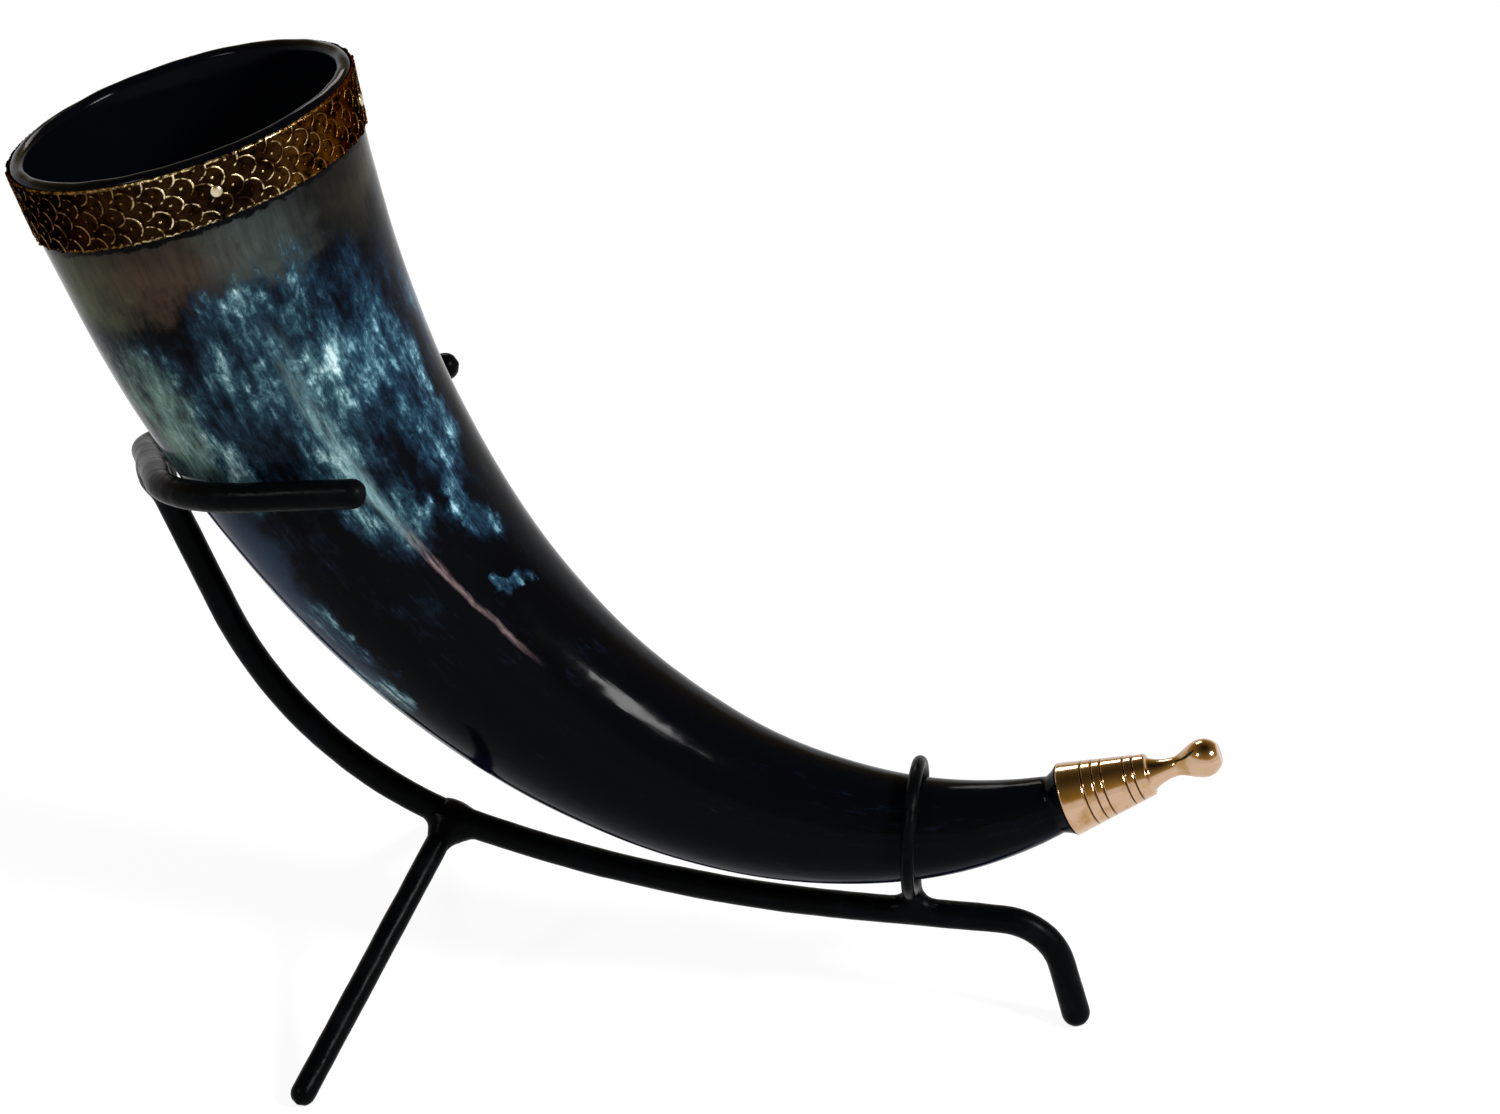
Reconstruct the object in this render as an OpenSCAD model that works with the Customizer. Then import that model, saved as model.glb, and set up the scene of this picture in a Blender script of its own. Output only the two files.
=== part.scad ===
// Drinking horn resting in a forged iron stand.
// +X runs from the mouth end to the tip, +Z is up, and the table is Z = 0.
// Y = 0 is the upright plane that the horn and the spine of the stand lie in.

/* [Horn] */
// Length of the horn along its curved middle line, lip to cut tip
horn_len = 270; // [255:1:285]
// Outside radius of the horn at the lip
mouth_r = 36.2; // [34:0.1:38]
// Thickness of the horn wall at the lip
horn_wall = 3.4; // [2.6:0.1:4.2]
// Depth of the hollow along the middle line
hollow_len = 195; // [170:1:205]
// How steeply the middle line falls at the mouth, degrees
mouth_fall_angle = 76.5; // [72:0.5:80]
// Even part of the bend over the whole length, degrees
bend_even_angle = 45; // [42:0.5:48]
// Part of the bend that grows toward the tip, degrees
bend_growing_angle = 25; // [22:0.5:28]
// Part of the bend that is nearly all at the tip, degrees
bend_late_angle = 36; // [33:0.5:39]
// Straight length of horn behind the tip finial
straight_tip = 7; // [5:0.5:10]
// Slant of the hand-cut lip toward the side with the first nail, degrees
lip_slant = 6; // [0:0.5:8]

/* [Rim band] */
// Height of the embossed brass strip
band_w = 14; // [12:0.5:16]
// Thickness of the strip
band_t = 0.8; // [0.6:0.1:1.2]
// Height of bare lip above the strip
lip_show = 0.8; // [0.5:0.1:1.5]
// Length of the lap where the strip's ends meet
lap_len = 8; // [5:0.5:12]
// Radius of a nail head
nail_head_r = 1.4; // [1.2:0.1:1.8]
// Length of a nail shank from the strip inward
nail_len = 2.6; // [2:0.1:3]

/* [Tip finial] */
// Radius of the finial's wide end
finial_r = 8.05; // [7.75:0.05:8.5]
// Length of the grooved cone
finial_cone_len = 19; // [17:0.5:21]
// Radius of the knob end
knob_r = 4.1; // [3.8:0.1:4.4]
// Length turned flat off the end of the knob
knob_flat = 0.6; // [0.3:0.1:1]
// Radius of the neck at its thinnest
neck_r = 2.1; // [1.8:0.1:2.3]
// Length of neck and knob past the cone
finial_neck_len = 15; // [14:0.5:16]
// Height of the finial's middle above the horn's own middle line
finial_lift = 0.35; // [0:0.05:0.5]
// Length over which the horn's end swells to meet the finial
swell_len = 3; // [2:0.5:5]
// Radius of the horn's peg inside the finial
peg_r = 4.5; // [4:0.1:5]
// Length of the horn's peg inside the finial
peg_len = 8; // [6:0.5:10]

/* [Stand] */
// Diameter of the spine and cradle rod, a quarter inch
rod_d = 6.35; // [6:0.05:6.7]
// Diameter of the two rear legs
leg_d = 5.6; // [5.2:0.1:6]
// Diameter of the wire of the tip hoop
hoop_wire_d = 3; // [2.5:0.1:3.5]
// Height of the horn's middle line above the table at the hoop
hoop_h = 46.2; // [44:0.2:50]
// Distance from the middle of the object to the hoop
hoop_x = 62.4; // [60:0.2:65]
// Running gap between the horn and the hoop
hoop_gap = 1.3; // [1:0.1:1.8]
// Gap between the horn and each arm of the cradle
cradle_gap = 0.6; // [0.5:0.1:1.5]
// Rise of the cradle toward the arm ends, degrees
cradle_rise = 12; // [10:0.5:14]
// Roll of the cradle down toward the far side, degrees
cradle_roll = 2.5; // [0:0.5:4]
// Twist that the hand-bent cradle has over half its width, degrees
cradle_twist = 4.5; // [0:0.5:6]
// Spread of each rear foot from the middle plane
leg_spread = 57.5; // [50:0.5:65]
// Distance of the rear feet behind their weld
leg_back = 18.8; // [14:0.2:24]
// Depth that each domed foot is worn flat
foot_worn = 0.35; // [0.2:0.05:0.5]

/* [Hidden] */

BLACK_HORN = "#15171b";
OLD_BRASS = "#7a6330";
NAIL_STEEL = "#cfc9b8";
BRIGHT_BRASS = "#d9a441";
BLACK_IRON = "#0c0d0f";

// Sides of the swept horn, and rings along it
SIDES = 40;
RINGS = 32;
// Fineness of the true circles
FINE = 64;
FULL_TURN = 360;
// Overrun of every cut past the surface that it opens
over = 1;
// Clearance between pieces that are nailed, glued or welded together
seat_gap = 0.05;

// Bend and taper of the horn, worked out at any share u of its length
TAPER_SHARES = [0.6, 0.2, 0.042];
TIP_POWER = 12;
STRAIGHT_SHARE = straight_tip / horn_len;
function bend(u) = -mouth_fall_angle + bend_even_angle * u
    + bend_growing_angle * pow(u, 2) + bend_late_angle * pow(u, 3);
function heading(u) = bend(min(u, 1 - STRAIGHT_SHARE));
function horn_r(u) = mouth_r * (1 - TAPER_SHARES[0] * u - TAPER_SHARES[1] * pow(u, 2)
    - TAPER_SHARES[2] * pow(u, TIP_POWER));

// The middle line is summed up in short straight steps
STEPS = 120;
STEP_LEN = horn_len / STEPS;
LINE = [for (i = 0, p = [0, 0]; i <= STEPS;
             p = p + STEP_LEN * [cos(heading((i + 0.5) / STEPS)), sin(heading((i + 0.5) / STEPS))],
             i = i + 1) p];
LINE_X = [for (i = [0:STEPS]) [i / STEPS, LINE[i][0]]];
LINE_Z = [for (i = [0:STEPS]) [i / STEPS, LINE[i][1]]];
function along(u) = [lookup(u, LINE_X), lookup(u, LINE_Z)];

// The hoop sits at this share of the horn, and fixes where the horn stands
hoop_share = 0.873;
START = [hoop_x, hoop_h] - along(hoop_share);
function centre(u) = START + along(u);
function normal(u) = [-sin(heading(u)), cos(heading(u))];
function under(u, off) = centre(u) - (horn_r(u) + off) * normal(u);

// One ring of the sweep. The slanted lip tips the first rings, and fades out below them.
SLANT_FADE_SHARE = 0.3;
function slant(u) = tan(lip_slant) * pow(max(0, 1 - u / SLANT_FADE_SHARE), 2);
function ring_point(u, r, a, push = 0, lift = 0) =
    let (side = r * sin(a), up = r * cos(a) + lift, h = heading(u), c = centre(u),
         fore = push - side * slant(u))
    [c[0] - up * sin(h) + fore * cos(h), side, c[1] + up * cos(h) + fore * sin(h)];
function ring(u, r, push = 0, lift = 0) =
    [for (k = [0:SIDES - 1]) ring_point(u, r, FULL_TURN * k / SIDES, push, lift)];

// Skin of a run of rings with n points each, and what closes it
function skin(rings, n) = [for (i = [0:len(rings) - 2], k = [0:n - 1])
    let (next = (k + 1) % n, a = i * n + k, b = i * n + next)
    each [[a, b + n, b], [a, a + n, b + n]]];
function first_fan(n) = [for (k = [1:n - 2]) [0, k, k + 1]];
function last_fan(count, n) = let (s = (count - 1) * n)
    [for (k = [1:n - 2]) [s, s + k + 1, s + k]];
function closing_band(count, n) = let (s = (count - 1) * n)
    [for (k = [0:n - 1]) let (next = (k + 1) % n)
        each [[s + k, next, s + next], [s + k, k, next]]];

// Solid of rings: capped at both ends, or closed back on its first ring
module sweep(rings, closed = false) {
    n = len(rings[0]);
    ends = closed ? closing_band(len(rings), n)
        : concat(first_fan(n), last_fan(len(rings), n));
    polyhedron(points = [for (r = rings) each r], faces = concat(skin(rings, n), ends),
        convexity = 6);
}

// Places children at share u of the horn: +X along the horn to the tip, +Z out of its inner curve
module at_share(u) {
    translate([centre(u)[0], 0, centre(u)[1]]) rotate([0, -heading(u), 0]) children();
}

// Bent round rod in the XY plane: corner points joined by straights and round bends
function way(p, i) = (p[i + 1] - p[i]) / norm(p[i + 1] - p[i]);
function angle_of(v) = atan2(v[1], v[0]);
function wrapped(a) = a > FULL_TURN / 2 ? a - FULL_TURN : a < -FULL_TURN / 2 ? a + FULL_TURN : a;
function turned(v, a) = [v[0] * cos(a) - v[1] * sin(a), v[0] * sin(a) + v[1] * cos(a)];
function turn(p, i) = wrapped(angle_of(way(p, i)) - angle_of(way(p, i - 1)));
function setback(p, radii, i) = radii[i - 1] * tan(abs(turn(p, i)) / 2);
function bend_start(p, radii, i) = p[i] - way(p, i - 1) * setback(p, radii, i);
function bend_hub(p, radii, i) =
    bend_start(p, radii, i) + sign(turn(p, i)) * radii[i - 1] * turned(way(p, i - 1), 90);
function bend_point(p, radii, i, share) = let (hub = bend_hub(p, radii, i))
    hub + turned(bend_start(p, radii, i) - hub, turn(p, i) * share);

ROD_SIDES = 20;
BEND_STEP = 7;
DOME_ANGLES = [0, 30, 55, 75];
function rod_ring(q, w, r) = [for (k = [0:ROD_SIDES - 1]) let (a = FULL_TURN * k / ROD_SIDES)
    [q[0] - w[1] * r * cos(a), q[1] + w[0] * r * cos(a), r * sin(a)]];
function bend_rings(p, radii, i, r) =
    let (t = turn(p, i), count = ceil(abs(t) / BEND_STEP))
    [for (j = [0:count]) rod_ring(bend_point(p, radii, i, j / count),
        turned(way(p, i - 1), t * j / count), r)];
function flat_end(q, w, r) = [rod_ring(q, w, r)];
function domed_end(q, w, r) = [for (a = DOME_ANGLES)
    rod_ring(q - r * (1 - sin(a)) * w, w, r * cos(a))];
function domed_start(q, w, r) = [for (i = [len(DOME_ANGLES) - 1:-1:0])
    rod_ring(q + r * (1 - sin(DOME_ANGLES[i])) * w, w, r * cos(DOME_ANGLES[i]))];

// The far end is always domed, and the near end where asked. A twist lifts opposite corners.
module bent_rod(p, radii, d, dome_start = false, twist = 0) {
    last = len(p) - 1;
    rings = concat(
        dome_start ? domed_start(p[0], way(p, 0), d / 2) : flat_end(p[0], way(p, 0), d / 2),
        [for (i = [1:last - 1]) each bend_rings(p, radii, i, d / 2)],
        domed_end(p[last], way(p, last - 1), d / 2));
    sweep([for (r = rings) [for (q = r) q + [0, 0, twist * q[0] * q[1]]]]);
}

// One straight and one bend of such a rod as true round shapes, to cut what fits round it
module rod_straight(p, i, d) {
    translate(p[i]) rotate([0, 0, angle_of(way(p, i))]) rotate([0, 90, 0])
        cylinder(d = d, h = norm(p[i + 1] - p[i]), $fn = FINE);
}

module rod_bend(p, radii, i, d) {
    hub = bend_hub(p, radii, i);
    translate(hub) rotate([0, 0, angle_of(bend_start(p, radii, i) - hub)])
        rotate_extrude(angle = turn(p, i), $fn = FINE)
            translate([radii[i - 1], 0]) circle(d = d, $fn = FINE);
}

// Half outline of a straight rod with a domed far end
module domed_half(r, length) {
    square([r, length - r]);
    translate([0, length - r]) intersection() {
        circle(r, $fn = FINE);
        square(r);
    }
}

// Turns children's +Z along a direction
module pointed(v) {
    rotate([0, acos(v[2] / norm(v)), atan2(v[1], v[0])]) children();
}

// Everything above the worn soles of the feet
module above_table(reach) {
    translate([-reach, -reach, 0]) cube([2 * reach, 2 * reach, reach]);
}

// Horn
HOLLOW_SHARE = hollow_len / horn_len;
function wall(u) = horn_wall + 1.2 * horn_wall * pow(u / HOLLOW_SHARE, 2);
function hollow_r(u) = (horn_r(u) - wall(u)) * sqrt(1 - pow(u / HOLLOW_SHARE, 6));
LIP_ARC = 4;
// Step between the horn's swollen end and the rim of the finial
rim_step = 0.15;
HOLLOW_RINGS = 18;

module horn() {
    half = horn_wall / 2;
    base_share = half / horn_len;
    lip_mid = horn_r(base_share) - half;
    swell_share = 1 - swell_len / horn_len;
    swell = [ring(1, finial_r - rim_step, 0, finial_lift), ring(swell_share, horn_r(swell_share))];
    outer = [for (i = [RINGS - 1:-1:0]) let (u = base_share + (1 - base_share) * i / RINGS)
        ring(u, horn_r(u))];
    lip = [for (i = [1:2 * LIP_ARC - 1]) let (a = 90 * i / LIP_ARC)
        ring(base_share, lip_mid + half * cos(a), -half * sin(a))];
    inner = [for (i = [0:HOLLOW_RINGS])
        let (v = sin(90 * i / HOLLOW_RINGS), u = base_share + (HOLLOW_SHARE * 0.999 - base_share) * v)
        ring(u, i == 0 ? lip_mid - half : hollow_r(u))];
    peg = [ring(1, peg_r, peg_len, finial_lift), ring(1, peg_r, 0, finial_lift)];
    color(BLACK_HORN) sweep(concat(peg, swell, outer, lip, inner));
}

// Rim band: one wrap of embossed strip with its nailed lap on the far side
LAP_MIDDLE = 100;
LAP_TURN = FULL_TURN * lap_len / (2 * PI * mouth_r);
function lift(a) = abs(a - LAP_MIDDLE) <= LAP_TURN / 2 ? 2 * band_t : band_t;
BAND_TOP_SHARE = lip_show / horn_len;
BAND_END_SHARE = (lip_show + band_w) / horn_len;
BAND_RINGS = 4;

module rim_band() {
    function outer_ring(u) = [for (k = [0:SIDES - 1]) let (a = FULL_TURN * k / SIDES)
        ring_point(u, horn_r(u) + seat_gap + lift(a), a)];
    shares = [for (i = [0:BAND_RINGS])
        BAND_TOP_SHARE + (BAND_END_SHARE - BAND_TOP_SHARE) * i / BAND_RINGS];
    color(OLD_BRASS) sweep(concat(
        [for (i = [BAND_RINGS:-1:0]) outer_ring(shares[i])],
        [for (u = shares) ring(u, horn_r(u) + seat_gap)]), closed = true);
}

// Band nails: four domed heads, hand-placed round the strip
NAIL_ANGLES = [-63, 8, LAP_MIDDLE, 194];
NAIL_SHARE = (lip_show + band_w / 2) / horn_len;
head_h = 0.45 * nail_head_r;
head_ball_r = (pow(nail_head_r, 2) + pow(head_h, 2)) / (2 * head_h);
nail_shank_r = 0.4 * nail_head_r;

module nail() {
    rotate_extrude($fn = FINE) {
        translate([0, -nail_len]) square([nail_shank_r, nail_len + head_h / 2]);
        intersection() {
            translate([0, head_h - head_ball_r]) circle(head_ball_r, $fn = FINE);
            square([nail_head_r, head_h]);
        }
    }
}

module band_nails() {
    color(NAIL_STEEL) for (a = NAIL_ANGLES) {
        seat = horn_r(NAIL_SHARE) + lift(a) + 2 * seat_gap;
        at_share(NAIL_SHARE) translate([-seat * sin(a) * slant(NAIL_SHARE), 0, 0])
            rotate([-a, 0, 0]) translate([0, 0, seat]) nail();
    }
}

// Tip finial: a turned, grooved cone with a waisted neck and a knob end
GROOVE_SHARES = [0.28, 0.4, 0.5, 0.75, 0.85];
groove_r = 0.3;
shoulder_r = 0.55 * finial_r;
neck_curve_r = 7;
knob_at = finial_cone_len + finial_neck_len + knob_flat - knob_r;

module finial_outline() {
    function cone_r(share) = finial_r + (shoulder_r - finial_r) * share;
    difference() {
        union() {
            polygon([[0, 0], [finial_r, 0], [shoulder_r, finial_cone_len], [0, finial_cone_len]]);
            difference() {
                translate([0, finial_cone_len - over]) square([knob_r, knob_at - finial_cone_len]);
                translate([neck_r + neck_curve_r, finial_cone_len + 0.36 * finial_neck_len])
                    circle(neck_curve_r, $fn = FINE);
            }
            intersection() {
                translate([0, knob_at]) circle(knob_r, $fn = FINE);
                translate([0, knob_at - knob_r]) square([knob_r, 2 * knob_r - knob_flat]);
            }
        }
        for (share = GROOVE_SHARES)
            translate([cone_r(share) + groove_r / 4, share * finial_cone_len])
                circle(groove_r, $fn = FINE / 4);
    }
}

module tip_finial() {
    color(BRIGHT_BRASS) at_share(1) translate([seat_gap, 0, finial_lift]) rotate([0, 90, 0])
        difference() {
            rotate_extrude($fn = FINE) finial_outline();
            translate([0, 0, -over])
                cylinder(r = peg_r + seat_gap, h = peg_len + seat_gap + over, $fn = FINE);
        }
}

// Cradle: a rod bent round the back of the horn, open toward the tip
CRADLE_SHARE = 0.28;
arm_half = horn_r(CRADLE_SHARE) + cradle_gap + rod_d / 2;
CRADLE_SHARES = [[0.59, -1.05], [-0.7, -1], [-1.6, 0.77], [0.6, 1.09]];
cradle_radii = [30, 9];
CRADLE_POINTS = CRADLE_SHARES * arm_half;
CRADLE_TWIST = tan(cradle_twist) / arm_half;

module in_cradle_plane() {
    translate([centre(CRADLE_SHARE)[0], 0, centre(CRADLE_SHARE)[1]]) rotate([0, -cradle_rise, 0])
        rotate([-cradle_roll, 0, 0]) children();
}

// The straight back bar, and where it crosses the middle plane
function lifted(q) = [q[0], q[1], CRADLE_TWIST * q[0] * q[1]];
BACK_FROM = lifted(bend_point(CRADLE_POINTS, cradle_radii, 1, 1));
BACK_RUN = lifted(bend_start(CRADLE_POINTS, cradle_radii, 2)) - BACK_FROM;
CROSS = BACK_FROM - BACK_FROM[1] / BACK_RUN[1] * BACK_RUN;
HITCH = centre(CRADLE_SHARE) + turned([CROSS[0], CROSS[2]], cradle_rise);

module back_bar(d) {
    in_cradle_plane() translate(BACK_FROM) pointed(BACK_RUN)
        cylinder(d = d, h = norm(BACK_RUN), $fn = FINE);
}

module cradle() {
    color(BLACK_IRON) in_cradle_plane()
        bent_rod(CRADLE_POINTS, cradle_radii, rod_d, dome_start = true, twist = CRADLE_TWIST);
}

// Spine: hangs from the back of the cradle, runs below the horn and turns down into the front foot.
// The butt joint at its top keeps a root gap, wide enough for the cradle rod to cross at a slant.
butt_gap = 0.35;
SPINE_SHARES = [0.473, 0.708];
spine_off = [31.5, 11.3];
spine_radii = [87, 300, 14];
spine_drop = 9.7;
knee_run = 30;
foot_run = 6.6;
spine_z = hoop_h - horn_r(hoop_share) - spine_drop;
knee = [hoop_x + knee_run, spine_z];
foot_ball = [knee[0] + foot_run, rod_d / 2 - foot_worn];

function toward(a, b) = (b - a) / norm(b - a);
SPINE_TURN_IN = under(SPINE_SHARES[0], spine_off[0]);
SPINE_TOP = HITCH + (rod_d / 2 + butt_gap) * toward(HITCH, SPINE_TURN_IN);
SPINE_POINTS = [
    SPINE_TOP,
    SPINE_TURN_IN,
    [under(SPINE_SHARES[1], spine_off[1])[0], spine_z],
    knee,
    foot_ball + rod_d / 2 * toward(knee, foot_ball)];

module upright() {
    rotate([90, 0, 0]) children();
}

module spine_rod() {
    color(BLACK_IRON) intersection() {
        upright() bent_rod(SPINE_POINTS, spine_radii, rod_d);
        above_table(horn_len);
    }
}

// Tip hoop: a closed ring that the tip passes through
hoop_r = horn_r(hoop_share) + hoop_gap + hoop_wire_d / 2;

module hoop_shape(d) {
    translate([hoop_x, 0, hoop_h]) rotate([0, 90, 0]) rotate_extrude($fn = FINE)
        translate([hoop_r, 0]) circle(d = d, $fn = FINE);
}

module tip_hoop() {
    color(BLACK_IRON) hoop_shape(hoop_wire_d);
}

// Rear legs: two straight rods butted on the underside of the spine's long bend
LEG_SHARE = 0.89;
LEG_TOP = bend_point(SPINE_POINTS, spine_radii, 1, LEG_SHARE);
leg_sole = leg_d / 2 - foot_worn;
LEG_RUN = [-leg_back, -leg_spread, leg_sole - LEG_TOP[1]];

module leg_shape(d) {
    length = norm(LEG_RUN) + d / 2;
    translate([LEG_TOP[0], 0, LEG_TOP[1]]) pointed(LEG_RUN)
        rotate_extrude($fn = FINE) domed_half(d / 2, length);
}

module spine_bend(d) {
    upright() rod_bend(SPINE_POINTS, spine_radii, 1, d);
}

module near_leg() {
    difference() {
        intersection() {
            leg_shape(leg_d);
            above_table(horn_len);
            translate([-horn_len, -horn_len - seat_gap, 0]) cube([2 * horn_len, horn_len, horn_len]);
        }
        spine_bend(rod_d + 2 * seat_gap);
    }
}

module near_rear_leg() {
    color(BLACK_IRON) near_leg();
}

module far_rear_leg() {
    color(BLACK_IRON) mirror([0, 1, 0]) near_leg();
}

// Weld beads, each cut away where the rods run through it
bead_r = 0.78 * rod_d;

module cradle_weld() {
    color(BLACK_IRON) difference() {
        translate([SPINE_TOP[0], 0, SPINE_TOP[1]]) sphere(bead_r, $fn = FINE);
        back_bar(rod_d + 4 * seat_gap);
        upright() rod_straight(SPINE_POINTS, 0, rod_d + 2 * seat_gap);
    }
}

hoop_low = hoop_h - hoop_r;
neck_half = 0.8 * hoop_wire_d;
flare = 0.8 * rod_d;

module hoop_weld() {
    rise = hoop_low - spine_z;
    color(BLACK_IRON) difference() {
        translate([hoop_x, neck_half, spine_z]) upright() linear_extrude(2 * neck_half)
            difference() {
                translate([-neck_half - flare, 0]) square([2 * (neck_half + flare), rise]);
                for (side = [-1, 1]) translate([side * (neck_half + flare), rise])
                    circle(flare, $fn = FINE);
            }
        hoop_shape(hoop_wire_d + 2 * seat_gap);
        upright() rod_straight(SPINE_POINTS, 2, rod_d + 2 * seat_gap);
    }
}

module leg_weld() {
    color(BLACK_IRON) difference() {
        translate([LEG_TOP[0], 0, LEG_TOP[1] - rod_d / 2]) sphere(bead_r, $fn = FINE);
        spine_bend(rod_d + 2 * seat_gap);
        leg_shape(leg_d + 2 * seat_gap);
        mirror([0, 1, 0]) leg_shape(leg_d + 2 * seat_gap);
    }
}

horn();
rim_band();
band_nails();
tip_finial();
spine_rod();
cradle();
tip_hoop();
near_rear_leg();
far_rear_leg();
cradle_weld();
hoop_weld();
leg_weld();
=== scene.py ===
"""Dresses a drinking horn and its forged stand: mottled horn, embossed band, brass tip and iron rods."""

import logging
import math
from dataclasses import dataclass
from enum import Enum
from typing import ClassVar, Iterable, Optional, Sequence, Union

import bmesh
import bpy
import numpy as np
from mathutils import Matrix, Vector, noise


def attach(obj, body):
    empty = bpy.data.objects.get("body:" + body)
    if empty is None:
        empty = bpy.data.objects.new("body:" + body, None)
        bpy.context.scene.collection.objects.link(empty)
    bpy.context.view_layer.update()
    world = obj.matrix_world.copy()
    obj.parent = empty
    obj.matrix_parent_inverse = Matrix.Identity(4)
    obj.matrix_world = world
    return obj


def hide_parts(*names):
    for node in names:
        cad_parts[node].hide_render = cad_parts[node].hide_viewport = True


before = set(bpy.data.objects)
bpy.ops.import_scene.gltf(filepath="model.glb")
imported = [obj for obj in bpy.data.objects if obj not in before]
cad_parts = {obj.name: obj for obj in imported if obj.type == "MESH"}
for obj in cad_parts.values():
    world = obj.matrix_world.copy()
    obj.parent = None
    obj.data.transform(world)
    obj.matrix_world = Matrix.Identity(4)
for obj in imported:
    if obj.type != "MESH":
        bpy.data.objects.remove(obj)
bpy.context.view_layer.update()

LOG = logging.getLogger("drinking_horn")
MM = 0.001
HORN_CHART = "round_and_along"
PATTERN_STEP = 17.3

Colour = tuple[float, float, float, float]
Span = tuple[float, float]
Numbers = Union[float, np.ndarray]
Socket = bpy.types.NodeSocket
Feed = Union[Socket, float, Sequence[float]]


class Body(Enum):
    """The two bodies that the pieces ride on."""

    STAND = "stand"
    CUP = "horn_cup"


class Slot(Enum):
    """The material slots of the record."""

    HORN = "horn"
    OLD_BRASS = "old_brass"
    NAIL = "nail"
    BRIGHT_BRASS = "bright_brass"
    BLACK_IRON = "black_iron"


def tone(code: str) -> Colour:
    """Turns a screen colour into the linear colour that shaders take.

    Args:
        code: Six hexadecimal digits, red then green then blue.

    Returns:
        The linear colour, with full alpha.
    """
    screen = [int(code[i : i + 2], 16) / 255 for i in (0, 2, 4)]
    linear = [c / 12.92 if c <= 0.04045 else ((c + 0.055) / 1.055) ** 2.4 for c in screen]
    return (linear[0], linear[1], linear[2], 1.0)


# Node trees


@dataclass(frozen=True)
class NoiseLayer:
    """One soft noise.

    Attributes:
        size: Rough size of its patches in metres.
        detail: How many finer layers it has.
        rough: How strong the finer layers are.
        warp: How much the patches are pulled about.
        along: How fast it changes along Z, against the other axes. Below 1 it is drawn out into threads.
    """

    size: float
    detail: float = 4
    rough: float = 0.55
    warp: float = 0
    along: float = 1


class Tree:
    """Writes the nodes of one tree, each with its inputs, and lays them out in a row."""

    def __init__(self, nodes: bpy.types.NodeTree) -> None:
        """Starts on an empty tree."""
        self.nodes = nodes
        self.nodes.nodes.clear()

    def add(self, kind: str, feeds: Optional[dict[Union[str, int], Feed]] = None, **settings: object) -> bpy.types.Node:
        """Adds a node.

        Args:
            kind: The node's type name.
            feeds: What goes into each input, by the input's name or number.
            settings: The node's own options.

        Returns:
            The new node.
        """
        node = self.nodes.nodes.new(kind)
        node.location = (180 * len(self.nodes.nodes), 0)
        for option, value in settings.items():
            setattr(node, option, value)
        for key, feed in (feeds or {}).items():
            if isinstance(feed, Socket):
                self.nodes.links.new(feed, node.inputs[key])
            else:
                node.inputs[key].default_value = feed
        return node

    def maths(self, operation: str, *feeds: Feed, clamp: bool = False) -> Socket:
        """Adds a sum, product or other operation on numbers and returns its result."""
        return self.add("ShaderNodeMath", dict(enumerate(feeds)), operation=operation, use_clamp=clamp).outputs[0]

    def times(self, first: Feed, second: Feed) -> Socket:
        """Returns the product of two numbers."""
        return self.maths("MULTIPLY", first, second)

    def plus(self, first: Feed, second: Feed) -> Socket:
        """Returns the sum of two numbers."""
        return self.maths("ADD", first, second)

    def flipped(self, value: Feed) -> Socket:
        """Returns 1 less a value."""
        return self.maths("SUBTRACT", 1.0, value)

    def scaled(self, value: Feed, gain: float, start: Feed) -> Socket:
        """Returns a value times a gain, counted from a start."""
        return self.maths("MULTIPLY_ADD", value, gain, start)

    def vector(self, x: Feed, y: Feed, z: Feed) -> Socket:
        """Returns a vector of three parts."""
        return self.add("ShaderNodeCombineXYZ", {0: x, 1: y, 2: z}).outputs[0]


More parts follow.
